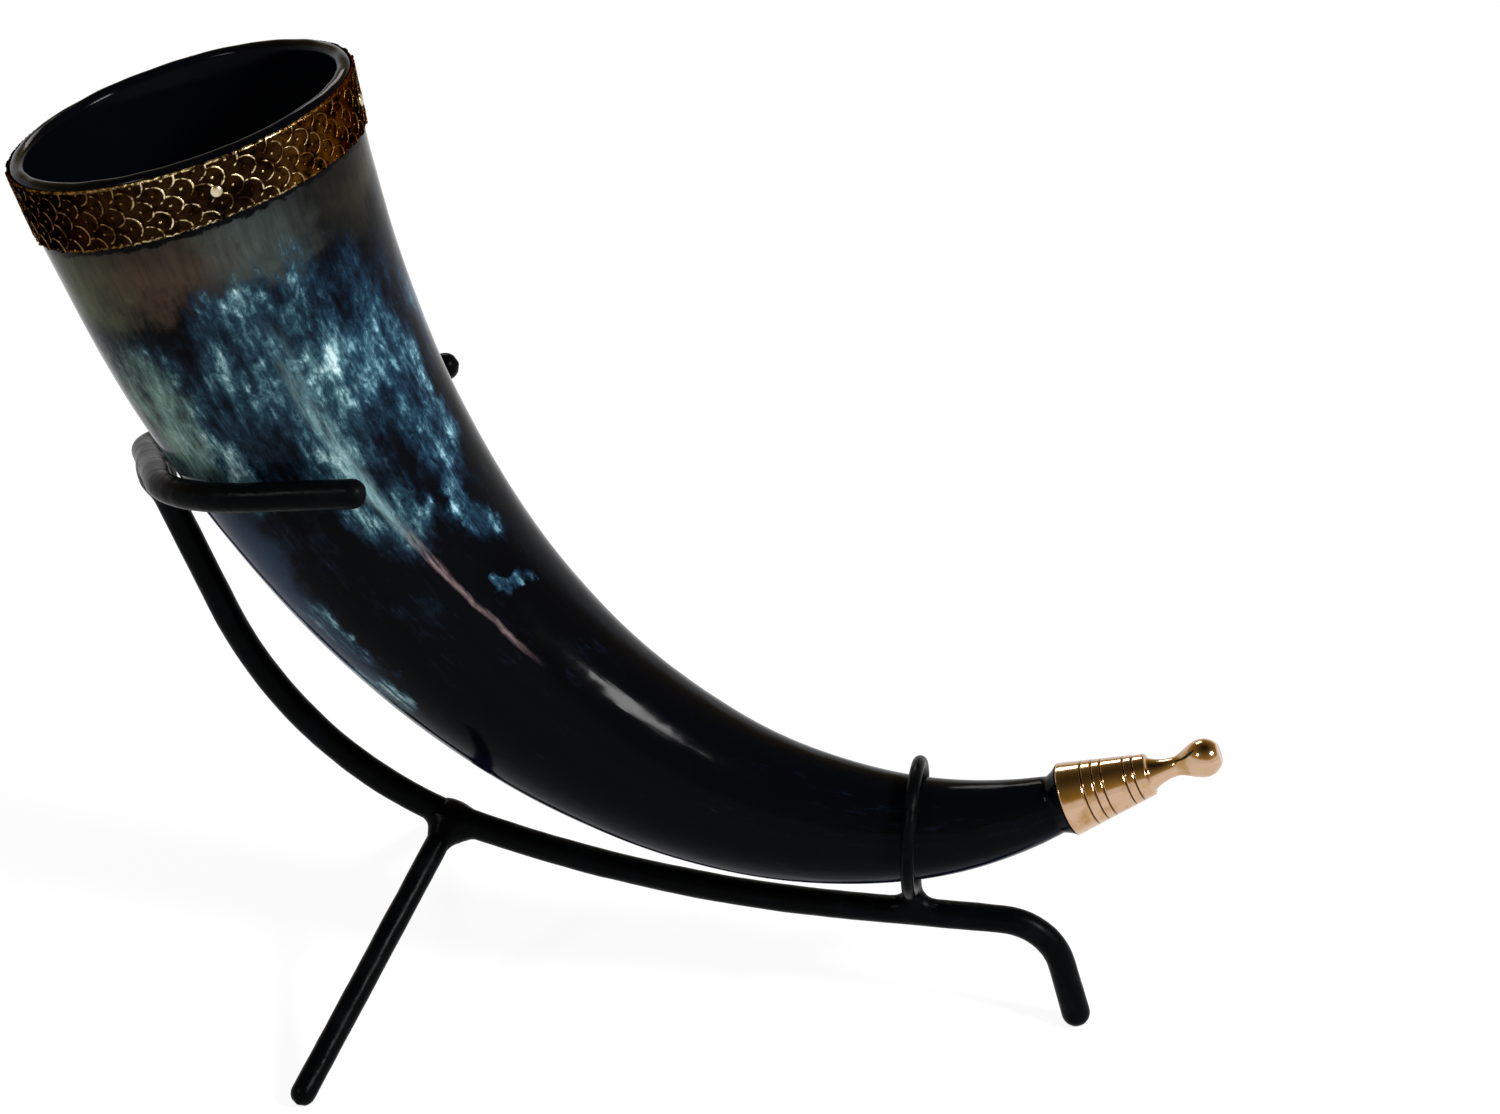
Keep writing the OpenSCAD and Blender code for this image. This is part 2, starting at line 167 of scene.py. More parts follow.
class ShaderTree(Tree):
    """Nodes of one surface finish, round a single Principled shader."""

    def __init__(self, name: str) -> None:
        """Starts a material and its output.

        Args:
            name: The material's name.
        """
        self.material = bpy.data.materials.new(name)
        self.material.use_nodes = True
        super().__init__(self.material.node_tree)
        self.shader = self.add("ShaderNodeBsdfPrincipled")
        self.add("ShaderNodeOutputMaterial", {0: self.shader.outputs[0]})

    def surface(self, **feeds: Feed) -> bpy.types.Material:
        """Feeds the shader and returns its material.

        Args:
            feeds: What goes into each of its sockets, by the socket's name with underscores.

        Returns:
            The material.
        """
        for words, feed in feeds.items():
            socket = self.shader.inputs[words.replace("_", " ")]
            if isinstance(feed, Socket):
                self.nodes.links.new(feed, socket)
            else:
                socket.default_value = feed
        return self.material

    def place(self) -> Socket:
        """Returns the object's own coordinates, in metres."""
        return self.add("ShaderNodeTexCoord").outputs["Object"]

    def mark(self, name: str) -> Socket:
        """Returns the number that each point of the mesh carries under a name."""
        return self.add("ShaderNodeAttribute", attribute_name=name).outputs["Fac"]

    def cloud(self, place: Socket, layer: NoiseLayer) -> Socket:
        """Returns soft noise from 0 to 1.

        Args:
            place: Where the noise is read, in metres.
            layer: Its size and kind.

        Returns:
            The noise value.
        """
        if layer.along != 1:
            place = self.add("ShaderNodeMapping", {"Vector": place, "Scale": (1, 1, layer.along)}).outputs[0]
        feeds = {
            "Vector": place,
            "Scale": 1 / layer.size,
            "Detail": layer.detail,
            "Roughness": layer.rough,
            "Distortion": layer.warp,
        }
        return self.add("ShaderNodeTexNoise", feeds).outputs["Fac"]

    def between(self, value: Socket, span: Span) -> Socket:
        """Returns 0 where a value hasn't reached the span, 1 where it is past it, and a smooth step between."""
        feeds = {"Value": value, "From Min": span[0], "From Max": span[1]}
        return self.add("ShaderNodeMapRange", feeds, interpolation_type="SMOOTHSTEP").outputs[0]

    def ramp(self, value: Socket, stops: Sequence[tuple[float, Colour]]) -> Socket:
        """Returns a colour that runs through stops.

        Args:
            value: Where on the ramp to read.
            stops: The place and colour of each stop, in order.

        Returns:
            The colour.
        """
        node = self.add("ShaderNodeValToRGB", {0: value})
        row = node.color_ramp.elements
        while len(row) < len(stops):
            row.new(1)
        for element, (at, colour) in zip(row, stops):
            element.position = at
            element.color = colour
        return node.outputs[0]

    def mixed(self, share: Feed, first: Feed, second: Feed, blend: str = "MIX") -> Socket:
        """Returns the first colour with a share of the second laid over it."""
        feeds = {0: share, 6: first, 7: second}
        return self.add("ShaderNodeMix", feeds, data_type="RGBA", blend_type=blend).outputs[2]

    def bump(self, height: Socket, depth: float, below: Optional[Socket] = None) -> Socket:
        """Returns a normal roughened by a height.

        Args:
            height: The height, from 0 to 1.
            depth: What a height of 1 stands for, in metres.
            below: A normal that this one is laid over.

        Returns:
            The normal.
        """
        feeds: dict[Union[str, int], Feed] = {"Height": height, "Distance": depth, "Strength": 1.0}
        if below is not None:
            feeds["Normal"] = below
        return self.add("ShaderNodeBump", feeds).outputs[0]


class GrowthTree(Tree):
    """Geometry nodes with named inputs, which make one mesh and are then removed."""

    def __init__(self, name: str, inputs: dict[str, str]) -> None:
        """Starts a tree.

        Args:
            name: The tree's name.
            inputs: The socket type of each input, by the input's name.
        """
        group = bpy.data.node_groups.new(name, "GeometryNodeTree")
        for title, kind in {"Geometry": "NodeSocketGeometry", **inputs}.items():
            group.interface.new_socket(name=title, in_out="INPUT", socket_type=kind)
        group.interface.new_socket(name="Geometry", in_out="OUTPUT", socket_type="NodeSocketGeometry")
        super().__init__(group)
        self.given = self.add("NodeGroupInput").outputs

    def close(self, geometry: Socket) -> None:
        """Ends the tree: instances become real, and everything takes the given material.

        Args:
            geometry: What the tree has made.
        """
        real = self.add("GeometryNodeRealizeInstances", {0: geometry})
        feeds = {"Geometry": real.outputs[0], "Material": self.given["Material"]}
        dressed = self.add("GeometryNodeSetMaterial", feeds)
        self.add("NodeGroupOutput", {0: dressed.outputs[0]})

    def grow(self, name: str, base: bpy.types.ID, values: dict[str, object]) -> bpy.types.Mesh:
        """Runs the tree on a mesh or curve and returns the result as a plain mesh.

        Args:
            name: Name of the new mesh.
            base: The mesh or curve that the tree starts from.
            values: What each named input is set to.

        Returns:
            The mesh, with the modifier and its carrier gone.
        """
        carrier = bpy.data.objects.new(name + "_carrier", base)
        bpy.context.scene.collection.objects.link(carrier)
        modifier = carrier.modifiers.new(name, "NODES")
        modifier.node_group = self.nodes
        for item in self.nodes.interface.items_tree:
            if item.in_out == "INPUT" and item.name in values:
                modifier[item.identifier] = values[item.name]
        bpy.context.view_layer.update()
        evaluated = carrier.evaluated_get(bpy.context.evaluated_depsgraph_get())
        mesh = bpy.data.meshes.new_from_object(evaluated)
        mesh.name = name
        bpy.data.objects.remove(carrier)
        return mesh


# Mesh helpers


def mesh_points(mesh: bpy.types.Mesh) -> np.ndarray:
    """Reads a mesh's points.

    Args:
        mesh: The mesh.

    Returns:
        The points, as rows of x, y and z.
    """
    flat = np.empty(3 * len(mesh.vertices), dtype=np.float32)
    mesh.vertices.foreach_get("co", flat)
    return flat.reshape(-1, 3).astype(float)


def move_points(mesh: bpy.types.Mesh, points: np.ndarray) -> None:
    """Moves a mesh's points to new places, given in the same order."""
    mesh.vertices.foreach_set("co", points.astype(np.float32).ravel())
    mesh.update()


def mark_points(mesh: bpy.types.Mesh, name: str, values: np.ndarray) -> None:
    """Writes one number for each point of a mesh, for its material to read."""
    layer = mesh.attributes.new(name, "FLOAT", "POINT")
    layer.data.foreach_set("value", values.astype(np.float32).ravel())


def ring_mesh(name: str, rings: np.ndarray, round_rings: bool, closed: bool) -> bpy.types.Mesh:
    """Makes a mesh from a grid of points.

    Args:
        name: The mesh's name.
        rings: The points, as an array of rings by points in a ring by 3.
        round_rings: Whether each ring closes on itself.
        closed: Whether the last ring joins the first. If not, the two end rings are capped when they are round.

    Returns:
        The mesh.
    """
    count, sides = rings.shape[:2]
    rows = np.arange(count if closed else count - 1)
    columns = np.arange(sides if round_rings else sides - 1)
    row, column = (part.ravel() for part in np.meshgrid(rows, columns, indexing="ij"))
    below, beside = (row + 1) % count, (column + 1) % sides
    faces = np.stack([row * sides + column, below * sides + column, below * sides + beside, row * sides + beside], 1)
    ends: list[list[int]] = []
    if round_rings and not closed:
        ends = [list(range(sides)), list(range(count * sides - 1, (count - 1) * sides - 1, -1))]
    mesh = bpy.data.meshes.new(name)
    mesh.from_pydata(rings.reshape(-1, 3).tolist(), [], faces.tolist() + ends)
    mesh.update()
    return mesh


def turned_rings(profile: Sequence[tuple[float, float]], sides: int) -> np.ndarray:
    """Turns a profile about the X axis.

    Args:
        profile: Distance along X and radius of each point.
        sides: Points round the turn.

    Returns:
        The rings, as an array of rings by sides by 3.
    """
    angle = np.linspace(0, 2 * math.pi, sides, endpoint=False)
    line = np.array(profile)
    along = np.repeat(line[:, :1], sides, axis=1)
    return np.stack([along, line[:, 1:] * np.sin(angle), line[:, 1:] * np.cos(angle)], -1)


def unevenness(points: np.ndarray, size: float, seed: int) -> np.ndarray:
    """Returns smooth noise at each point.

    Args:
        points: The places, in metres.
        size: Rough size of the bumps in metres.
        seed: Which pattern is used.

    Returns:
        A value from about -1 to 1 for each place.
    """
    flat = points.reshape(-1, 3) / size + PATTERN_STEP * seed
    values = [noise.noise(Vector(place)) for place in flat]
    return np.array(values).reshape(points.shape[:-1])


def finish_piece(mesh: bpy.types.Mesh, node: str, body: Body, finish: bpy.types.Material) -> None:
    """Makes a mesh the visible piece that stands for a CAD node.

    Args:
        mesh: The piece's mesh, in place.
        node: The CAD node that it replaces.
        body: The body that it rides on.
        finish: Its material.
    """
    mesh.materials.clear()
    mesh.materials.append(finish)
    mesh.shade_smooth()
    piece = bpy.data.objects.new("dressed_" + node, mesh)
    bpy.context.scene.collection.objects.link(piece)
    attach(piece, body.value)
    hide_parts(node)
    LOG.info("%s: %d faces on %s", piece.name, len(mesh.polygons), body.value)


# The horn's middle line, which places everything on it


@dataclass(frozen=True)
class HornLine:
    """The bent middle line and the taper of the horn, in metres and degrees."""

    length: float = 270 * MM
    mouth_radius: float = 36.2 * MM
    lip_wall: float = 3.4 * MM
    taper: tuple[float, float, float] = (0.6, 0.2, 0.042)
    hollow_share: float = 195 / 270
    wall_growth: float = 1.2
    fall: float = 76.5
    bends: tuple[float, float, float] = (45, 25, 36)
    straight_share: float = 7 / 270
    slant: float = 6
    slant_fade: float = 0.3
    hoop_share: float = 0.873
    hoop_at: tuple[float, float] = (62.4 * MM, 46.2 * MM)
    swell_share: float = 1 - 3 / 270
    finial_radius: float = 8.05 * MM
    finial_lift: float = 0.35 * MM
    steps: int = 2000

    def heading(self, share: np.ndarray) -> np.ndarray:
        """Returns the direction of the line at each share of its length, in radians."""
        u = np.minimum(share, 1 - self.straight_share)
        return np.radians(self.bends[0] * u + self.bends[1] * u**2 + self.bends[2] * u**3 - self.fall)

    def radius(self, share: np.ndarray) -> np.ndarray:
        """Returns the outside radius at each share of the length."""
        steady, growing, at_tip = self.taper
        return self.mouth_radius * (1 - steady * share - growing * share**2 - at_tip * share**12)

    def hollow(self, share: np.ndarray) -> np.ndarray:
        """Returns the inside radius, which rounds off to nothing at the end of the hollow.

        Args:
            share: Share of the length.

        Returns:
            The radius in metres.
        """
        depth = np.clip(share / self.hollow_share, 0, 1)
        wall = self.lip_wall * (1 + self.wall_growth * depth**2)
        return (self.radius(share) - wall) * np.sqrt(1 - depth**6)

    def centre(self, share: np.ndarray) -> tuple[np.ndarray, np.ndarray]:
        """Returns the middle line, placed so that it passes the middle of the hoop.

        Args:
            share: Share of the length.

        Returns:
            X and Z of each place.
        """
        edges = np.linspace(0, 1, self.steps + 1)
        turn = self.heading((edges[1:] + edges[:-1]) / 2)
        run = np.concatenate([[0], np.cumsum(np.cos(turn))]) * self.length / self.steps
        rise = np.concatenate([[0], np.cumsum(np.sin(turn))]) * self.length / self.steps
        start_x = self.hoop_at[0] - np.interp(self.hoop_share, edges, run)
        start_z = self.hoop_at[1] - np.interp(self.hoop_share, edges, rise)
        return start_x + np.interp(share, edges, run), start_z + np.interp(share, edges, rise)

    def point(
        self, share: np.ndarray, radius: np.ndarray, turn: np.ndarray, push: Numbers = 0.0, lift: Numbers = 0.0
    ) -> np.ndarray:
        """Returns places round the horn.

        Args:
            share: Share of the length.
            radius: Distance from the middle line.
            turn: Angle round it in degrees, 0 on the inside of the bend and -90 at the front.
            push: Distance added along the line.
            lift: Distance added toward the inside of the bend.

        Returns:
            The places, as rows of x, y and z.
        """
        angle, heading = np.radians(turn), self.heading(share)
        middle_x, middle_z = self.centre(share)
        side, up = radius * np.sin(angle), radius * np.cos(angle) + lift
        slant = math.tan(math.radians(self.slant)) * np.maximum(0, 1 - share / self.slant_fade) ** 2
        fore = push - side * slant
        x = middle_x - up * np.sin(heading) + fore * np.cos(heading)
        z = middle_z + up * np.cos(heading) + fore * np.sin(heading)
        return np.stack([x, side, z], -1)


# Finishes


@dataclass(frozen=True)
class CloudPatch:
    """Where the horn is clouded: an oval on its surface."""

    turn: float
    share: float
    half_turn: float
    half_share: float
    strength: float = 1.0


@dataclass(frozen=True)
class Streak:
    """The long pale streak: its run in degrees from the front, and where along the horn it changes."""

    first_turn: float = 27
    drift: float = 13
    drifts: Span = (0.18, 0.56)
    wobble: float = 7
    wobbling: NoiseLayer = NoiseLayer(13 * MM)
    half_width: float = 5.2
    narrowing: float = 3.4
    narrows: Span = (0.24, 0.44)
    edge: Span = (0.1, 1.1)
    begins: Span = (0.14, 0.27)
    ends: Span = (0.46, 0.53)
    blushes: Span = (0.33, 0.4)
    threads: NoiseLayer = NoiseLayer(1.8 * MM, 6, 0.7, along=0.16)
    threads_show: Span = (0.3, 0.72)


@dataclass(frozen=True)
class MottledHorn:
    """Polished black horn with pale clouds toward the mouth and one long streak."""

    line: HornLine
    girth: float = 30 * MM
    streak: Streak = Streak()
    mirror: float = 0.028
    refraction: float = 1.5
    least_rough: float = 0.04
    smudged: float = 0.14
    brush_depth: float = 0.012 * MM
    wave_depth: float = 0.2 * MM
    black: Colour = tone("040508")
    # Painted blue rim light: a navy tint laid on the horn's lower side.
    blue_rim_light: Colour = tone("070b1c")
    navy: Colour = tone("0a121b")
    deep: Colour = tone("14232f")
    slate: Colour = tone("203845")
    teal: Colour = tone("43626a")
    pale: Colour = tone("7d9ea2")
    bright: Colour = tone("bfd3d2")
    cool: Colour = tone("e0efff")
    # Painted reflection colour, laid on the lower front of the horn.
    blue_reflection: Colour = tone("27394e")
    # Painted sheen colour, laid over the paler clouding on the lower front.
    olive_sheen: Colour = tone("728a78")
    pink: Colour = tone("917b7e")
    shade_stops: tuple[float, ...] = (0.04, 0.3, 0.46, 0.6, 0.74, 0.86, 1.0)
    levels: Span = (-0.5, 1.0)
    clouds_show: Span = (-0.5, -0.1)
    # What each patch and noise adds to how pale the clouding is
    base_level: float = -3.22
    blue_gain: float = 0.3
    cloud_gain: float = 0.88
    gap_gain: float = -0.24
    puff_gain: float = 2.7
    wisp_gain: float = 1.5
    fleck_gain: float = 0.3
    fibre_gain: float = 0.95
    tear: NoiseLayer = NoiseLayer(16 * MM, 6, 0.62)
    fibre: NoiseLayer = NoiseLayer(1.3 * MM, 6, 0.66, along=0.11)
    puff: NoiseLayer = NoiseLayer(9 * MM, 8, 0.66, 0.2, 0.5)
    wisp: NoiseLayer = NoiseLayer(2.6 * MM, 7, 0.75, 0.5, 0.5)
    fleck: NoiseLayer = NoiseLayer(3 * MM, 6, 0.72, along=0.5)
    flecks_show: Span = (0.52, 0.7)
    torn_turn: float = 46
    torn_share: float = 0.1
    patch_edge: Span = (0.35, 1.5)
    # Turns are counted from the front of the horn, and rise toward the inside of the bend
    rim_light_near: Span = (-18, -50)
    rim_light_far: Span = (-125, -80)
    cooler: Span = (34, 58)
    clouds: tuple[CloudPatch, ...] = (
        CloudPatch(34, 0.2, 46, 0.115, 0.86),
        CloudPatch(45, 0.2, 20, 0.03, 0.93),
        CloudPatch(41, 0.16, 8, 0.025, 1.05),
        CloudPatch(30, 0.15, 18, 0.06, 0.92),
        CloudPatch(69, 0.27, 18, 0.09, 0.9),
        CloudPatch(32, 0.34, 15, 0.045, 0.79),
        CloudPatch(64, 0.37, 9, 0.04, 0.85),
        CloudPatch(-36, 0.19, 34, 0.085, 0.92),
        CloudPatch(-18, 0.24, 18, 0.04, 1.0),
        CloudPatch(-33, 0.08, 8, 0.035, 1.0),
        CloudPatch(-26, 0.4, 12, 0.035, 1.35),
        # The next two patches, at the lower front edge, are painted reflections: pale teal blotches there, not
        # clouding.
        CloudPatch(-38, 0.45, 9, 0.035, 1.35),
        CloudPatch(-52, 0.44, 12, 0.03, 1.3),
        CloudPatch(60, 0.457, 9, 0.011, 1.3),
        CloudPatch(106, 0.2, 15, 0.1, 0.62),
        CloudPatch(137, 0.21, 24, 0.09, 0.8),
        CloudPatch(-112, 0.24, 30, 0.1, 0.8),
    )
    gaps: tuple[CloudPatch, ...] = (
        CloudPatch(0, 0.19, 13, 0.07),
        CloudPatch(56, 0.14, 11, 0.03),
        CloudPatch(48, 0.29, 9, 0.03),
        CloudPatch(10, 0.26, 8, 0.04),
        CloudPatch(10, 0.165, 10, 0.05, 1.05),
        CloudPatch(33, 0.25, 16, 0.035, 0.5),
        CloudPatch(73, 0.2, 10, 0.03, 0.6),
        CloudPatch(-17, 0.12, 12, 0.02),
    )
    bluish: tuple[CloudPatch, ...] = (CloudPatch(38, 0.24, 72, 0.2), CloudPatch(66, 0.545, 11, 0.016, 0.8))
    reflection_patches: tuple[CloudPatch, ...] = (CloudPatch(-46, 0.34, 24, 0.11, 0.85),)
    olive_sheen_patches: tuple[CloudPatch, ...] = (CloudPatch(-50, 0.18, 30, 0.07),)
    olive_sheen_shows: Span = (-0.2, 0.8)
    olive_sheen_cover: float = 0.75
    # What lies under the band, from the left edge to the right one
    smear: tuple[tuple[float, Colour], ...] = (
        (-45, tone("4c5238")),
        (-22, tone("484636")),
        (-5, tone("47392e")),
        (12, tone("3b3229")),
        (28, tone("404743")),
        (45, tone("343b39")),
        (62, tone("171713")),
        (90, tone("2f2b1f")),
        (150, tone("4c5238")),
    )
    smear_ends: Span = (0.12, 0.155)
    smear_yields: Span = (1.3, 0.4)
    smear_threads: Span = (0.66, 0.3)
    smear_darkens: Span = (0.09, 0.055)
    smear_torn: float = 0.06
    thread_dark: float = 0.4
    top_dark: float = 0.45
    reflection_threads: float = 0.7
    reflection_least: float = 0.4
    # Painted shadow under the band's lower edge: where it ends along the length, how ragged it is, and its noise.
    band_shadow: Span = (0.0675, 0.0695)
    band_shadow_torn: float = 0.02
    band_shadow_edge: NoiseLayer = NoiseLayer(5 * MM, 5, 0.65)
    brushing: NoiseLayer = NoiseLayer(0.8 * MM, 3, along=0.06)
    smudges: NoiseLayer = NoiseLayer(9 * MM, 5)
    waves: NoiseLayer = NoiseLayer(14 * MM, 2)

    def material(self) -> bpy.types.Material:
        """Makes the horn's material. It reads the UV map, which is turn and share of the length.

        Returns:
            The material.
        """
        tree = ShaderTree("mottled_horn")
        chart = tree.add("ShaderNodeSeparateXYZ", {0: tree.add("ShaderNodeUVMap", uv_map=HORN_CHART).outputs[0]})
        share = chart.outputs[1]
        turn = tree.scaled(chart.outputs[0], 360.0, -180.0)
        angle = tree.times(chart.outputs[0], 2 * math.pi)
        grain = tree.vector(
            tree.times(tree.maths("COSINE", angle), self.girth),
            tree.times(tree.maths("SINE", angle), self.girth),
            tree.times(share, self.line.length),
        )
        tear = tree.cloud(grain, self.tear)
        torn_turn = tree.plus(turn, tree.scaled(tear, self.torn_turn, -self.torn_turn / 2))
        torn_share = tree.plus(share, tree.scaled(tear, self.torn_share, -self.torn_share / 2))
        fibres = tree.cloud(grain, self.fibre)

        level = self.cloud_level(tree, grain, fibres, torn_turn, torn_share)
        # Painted blue rim light on the lower side, between the front and the underside.
        rim_lit = tree.times(tree.between(turn, self.rim_light_near), tree.between(turn, self.rim_light_far))
        ground = tree.mixed(rim_lit, self.black, self.blue_rim_light)
        shades = (self.black, self.navy, self.deep, self.slate, self.teal, self.pale, self.bright)
        least, reach = self.levels[0], self.levels[1] - self.levels[0]
        lit = tree.ramp(tree.scaled(level, 1 / reach, -least / reach), list(zip(self.shade_stops, shades)))
        lit = tree.mixed(tree.between(turn, self.cooler), lit, self.cool, "MULTIPLY")
        colour = tree.mixed(tree.between(level, self.clouds_show), ground, lit)
        colour = self.tinted(tree, colour, level, fibres, torn_turn, torn_share)
        colour = self.streaked(tree, colour, grain, turn, share)
        # Painted shadow: a ragged black line just below the band.
        edge = tree.scaled(tree.cloud(grain, self.band_shadow_edge), self.band_shadow_torn, share)
        colour = tree.mixed(tree.flipped(tree.between(edge, self.band_shadow)), colour, self.black)
        colour = tree.mixed(tree.mark("inside"), colour, self.black)

        rough = tree.scaled(tree.cloud(grain, self.smudges), self.smudged, self.least_rough)
        wear = tree.bump(tree.cloud(grain, self.waves), self.wave_depth)
        wear = tree.bump(tree.cloud(grain, self.brushing), self.brush_depth, wear)
        gloss = {"IOR": self.refraction, "Specular_IOR_Level": self.mirror}
        return tree.surface(Base_Color=colour, Roughness=rough, Normal=wear, **gloss)

    def cloud_level(self, tree: ShaderTree, grain: Socket, fibres: Socket, turn: Socket, share: Socket) -> Socket:
        """Returns how pale the clouding is, from nothing to nearly 1.

        Args:
            tree: The horn's nodes.
            grain: Place in the horn, straightened out, in metres.
            fibres: Fine noise that runs along the horn.
            turn: Angle from the front, with a torn edge.
            share: Share of the length, with a torn edge.

        Returns:
            The level.
        """
        clouded = self.patched(tree, self.clouds, turn, share)
        flecks = tree.between(tree.cloud(grain, self.fleck), self.flecks_show)
        level: Feed = self.base_level
        for part, gain in (
            (self.patched(tree, self.bluish, turn, share), self.blue_gain),
            (clouded, self.cloud_gain),
            (self.patched(tree, self.gaps, turn, share), self.gap_gain),
            (tree.cloud(grain, self.puff), self.puff_gain),
            (tree.cloud(grain, self.wisp), self.wisp_gain),
            (tree.times(flecks, clouded), self.fleck_gain),
            (fibres, self.fibre_gain),
        ):
            level = tree.scaled(part, gain, level)
        return level

    def patched(self, tree: ShaderTree, patches: Iterable[CloudPatch], turn: Socket, share: Socket) -> Socket:
        """Returns how far inside any of the patches a place is.

        Args:
            tree: The horn's nodes.
            patches: The patches.
            turn: Angle from the front, with a torn edge.
            share: Share of the length, with a torn edge.

        Returns:
            0 outside every patch, and up to a patch's strength in its middle.
        """
        zone: Optional[Socket] = None
        for patch in patches:
            aside = tree.scaled(turn, 1 / patch.half_turn, -patch.turn / patch.half_turn)
            away = tree.scaled(share, 1 / patch.half_share, -patch.share / patch.half_share)
            spread = tree.plus(tree.maths("POWER", aside, 2.0), tree.maths("POWER", away, 2.0))
            spot = tree.times(tree.flipped(tree.between(spread, self.patch_edge)), patch.strength)
            zone = spot if zone is None else tree.maths("MAXIMUM", zone, spot)
        return zone

    def tinted(
        self, tree: ShaderTree, colour: Socket, level: Socket, fibres: Socket, turn: Socket, share: Socket
    ) -> Socket:
        """Returns the colour with its painted olive sheen, its painted bluish reflection and the smear below the band.

        Args:
            tree: The horn's nodes.
            colour: The clouded colour.
            level: How pale the clouding is.
            fibres: Fine noise that runs along the horn.
            turn: Angle from the front, with a torn edge.
            share: Share of the length, with a torn edge.

        Returns:
            The colour.
        """
        # Painted sheen: a pale olive cast over the paler clouding on the lower front, toward the mouth.
        side = self.patched(tree, self.olive_sheen_patches, turn, share)
        olive_sheen = tree.times(side, tree.between(level, self.olive_sheen_shows))
        colour = tree.mixed(tree.times(olive_sheen, self.olive_sheen_cover), colour, self.olive_sheen)
        # Painted reflection: a bluish veil, broken up by the fibres, on the lower front of the horn.
        reflected = self.patched(tree, self.reflection_patches, turn, share)
        threads = tree.scaled(fibres, self.reflection_threads, self.reflection_least)
        colour = tree.mixed(tree.times(reflected, threads), colour, self.blue_reflection)

        first, width = self.smear[0][0], self.smear[-1][0] - self.smear[0][0]
        place = tree.scaled(turn, 1 / width, -first / width)
        shade = tree.ramp(place, [((at - first) / width, tint) for at, tint in self.smear])
        for dark, most in (
            (tree.between(fibres, self.smear_threads), self.thread_dark),
            (tree.between(share, self.smear_darkens), self.top_dark),
        ):
            shade = tree.mixed(tree.times(dark, most), shade, self.black)
        smeared = tree.flipped(tree.between(tree.scaled(fibres, self.smear_torn, share), self.smear_ends))
        return tree.mixed(tree.times(smeared, tree.between(level, self.smear_yields)), colour, shade)

    def streaked(self, tree: ShaderTree, colour: Socket, grain: Socket, turn: Socket, share: Socket) -> Socket:
        """Returns the colour with the long pale streak that narrows toward the tip.

        Args:
            tree: The horn's nodes.
            colour: The clouded and tinted colour.
            grain: Place in the horn, straightened out, in metres.
            turn: Angle from the front.
            share: Share of the length.

        Returns:
            The colour.
        """
        streak = self.streak
        middle = tree.scaled(tree.between(share, streak.drifts), streak.drift, streak.first_turn)
        wobble = tree.scaled(tree.cloud(grain, streak.wobbling), streak.wobble, -streak.wobble / 2)
        aside = tree.maths("ABSOLUTE", tree.maths("SUBTRACT", turn, tree.plus(middle, wobble)))
        width = tree.scaled(tree.between(share, streak.narrows), -streak.narrowing, streak.half_width)
        body = tree.flipped(tree.between(tree.maths("DIVIDE", aside, width), streak.edge))
        body = tree.times(body, tree.between(share, streak.begins))
        body = tree.times(body, tree.flipped(tree.between(share, streak.ends)))
        body = tree.times(body, tree.between(tree.cloud(grain, streak.threads), streak.threads_show))
        return tree.mixed(body, colour, tree.mixed(tree.between(share, streak.blushes), self.pale, self.pink))


@dataclass(frozen=True)
class AgedBrass:
    """Embossed brass, dark in its hollows and worn bright on its ridges, with a painted highlight on the ridges across
    one zone.
    """

    hollow: Colour = tone("0b0502")
    body: Colour = tone("28180a")
    ridge: Colour = tone("7d6238")
    # Painted highlight colour: cream on the ridges, standing in for a lamp's reflection.
    rubbed_and_highlit: Colour = tone("e2d2a6")
    grazing: Colour = tone("6b5335")
    amber: Colour = tone("5e3b0e")
    amber_across: Span = (-66 * MM, -54 * MM)
    amber_shows: Span = (0.1, 0.5)
    amber_cover: float = 0.75
    # Where the painted highlight lies across the band, and how proud a place must be to take it.
    highlight_middle: float = -74 * MM
    highlight_reach: Span = (6 * MM, 20 * MM)
    highlight_shows: Span = (0.6, 1.0)
    stains: NoiseLayer = NoiseLayer(6 * MM, 6, 0.65)
    pits: NoiseLayer = NoiseLayer(1.3 * MM, 4, 0.6)
    pits_show: Span = (0.3, 0.62)
    pit_depth: float = 0.22 * MM
    pitted: float = 0.4
    whole: float = 0.75
    stained: float = 0.9
    shade_stops: tuple[float, float, float] = (0.1, 0.45, 1.0)
    least_rough: float = 0.16
    rougher: float = 0.3

    def material(self) -> bpy.types.Material:
        """Makes the band's material. It reads how proud each point stands from an attribute.

        Returns:
            The material.
        """
        tree = ShaderTree("aged_brass")
        place = tree.place()
        stain, pits = tree.cloud(place, self.stains), tree.cloud(place, self.pits)
        level = tree.times(tree.mark("proud"), tree.scaled(tree.between(pits, self.pits_show), self.whole, self.pitted))
        level = tree.plus(level, tree.scaled(stain, self.stained, -self.stained / 2))
        colour = tree.ramp(level, list(zip(self.shade_stops, (self.hollow, self.body, self.ridge))))
        across = tree.add("ShaderNodeSeparateXYZ", {0: place}).outputs[0]
        # Painted highlight: the ridges turn cream in a zone across the front of the band, standing in for a lamp's
        # reflection.
        aside = tree.maths("ABSOLUTE", tree.maths("SUBTRACT", across, self.highlight_middle))
        rubbed_and_highlit = tree.flipped(tree.between(aside, self.highlight_reach))
        colour = tree.mixed(tree.times(rubbed_and_highlit, tree.between(level, self.highlight_shows)), colour, self.rubbed_and_highlit)
        amber = tree.times(tree.between(across, self.amber_across), tree.between(level, self.amber_shows))
        colour = tree.mixed(tree.times(amber, self.amber_cover), colour, self.amber)
        rough = tree.scaled(stain, self.rougher, self.least_rough)
        wear = tree.bump(pits, self.pit_depth)
        return tree.surface(Base_Color=colour, Metallic=1.0, Roughness=rough, Normal=wear, Specular_Tint=self.grazing)


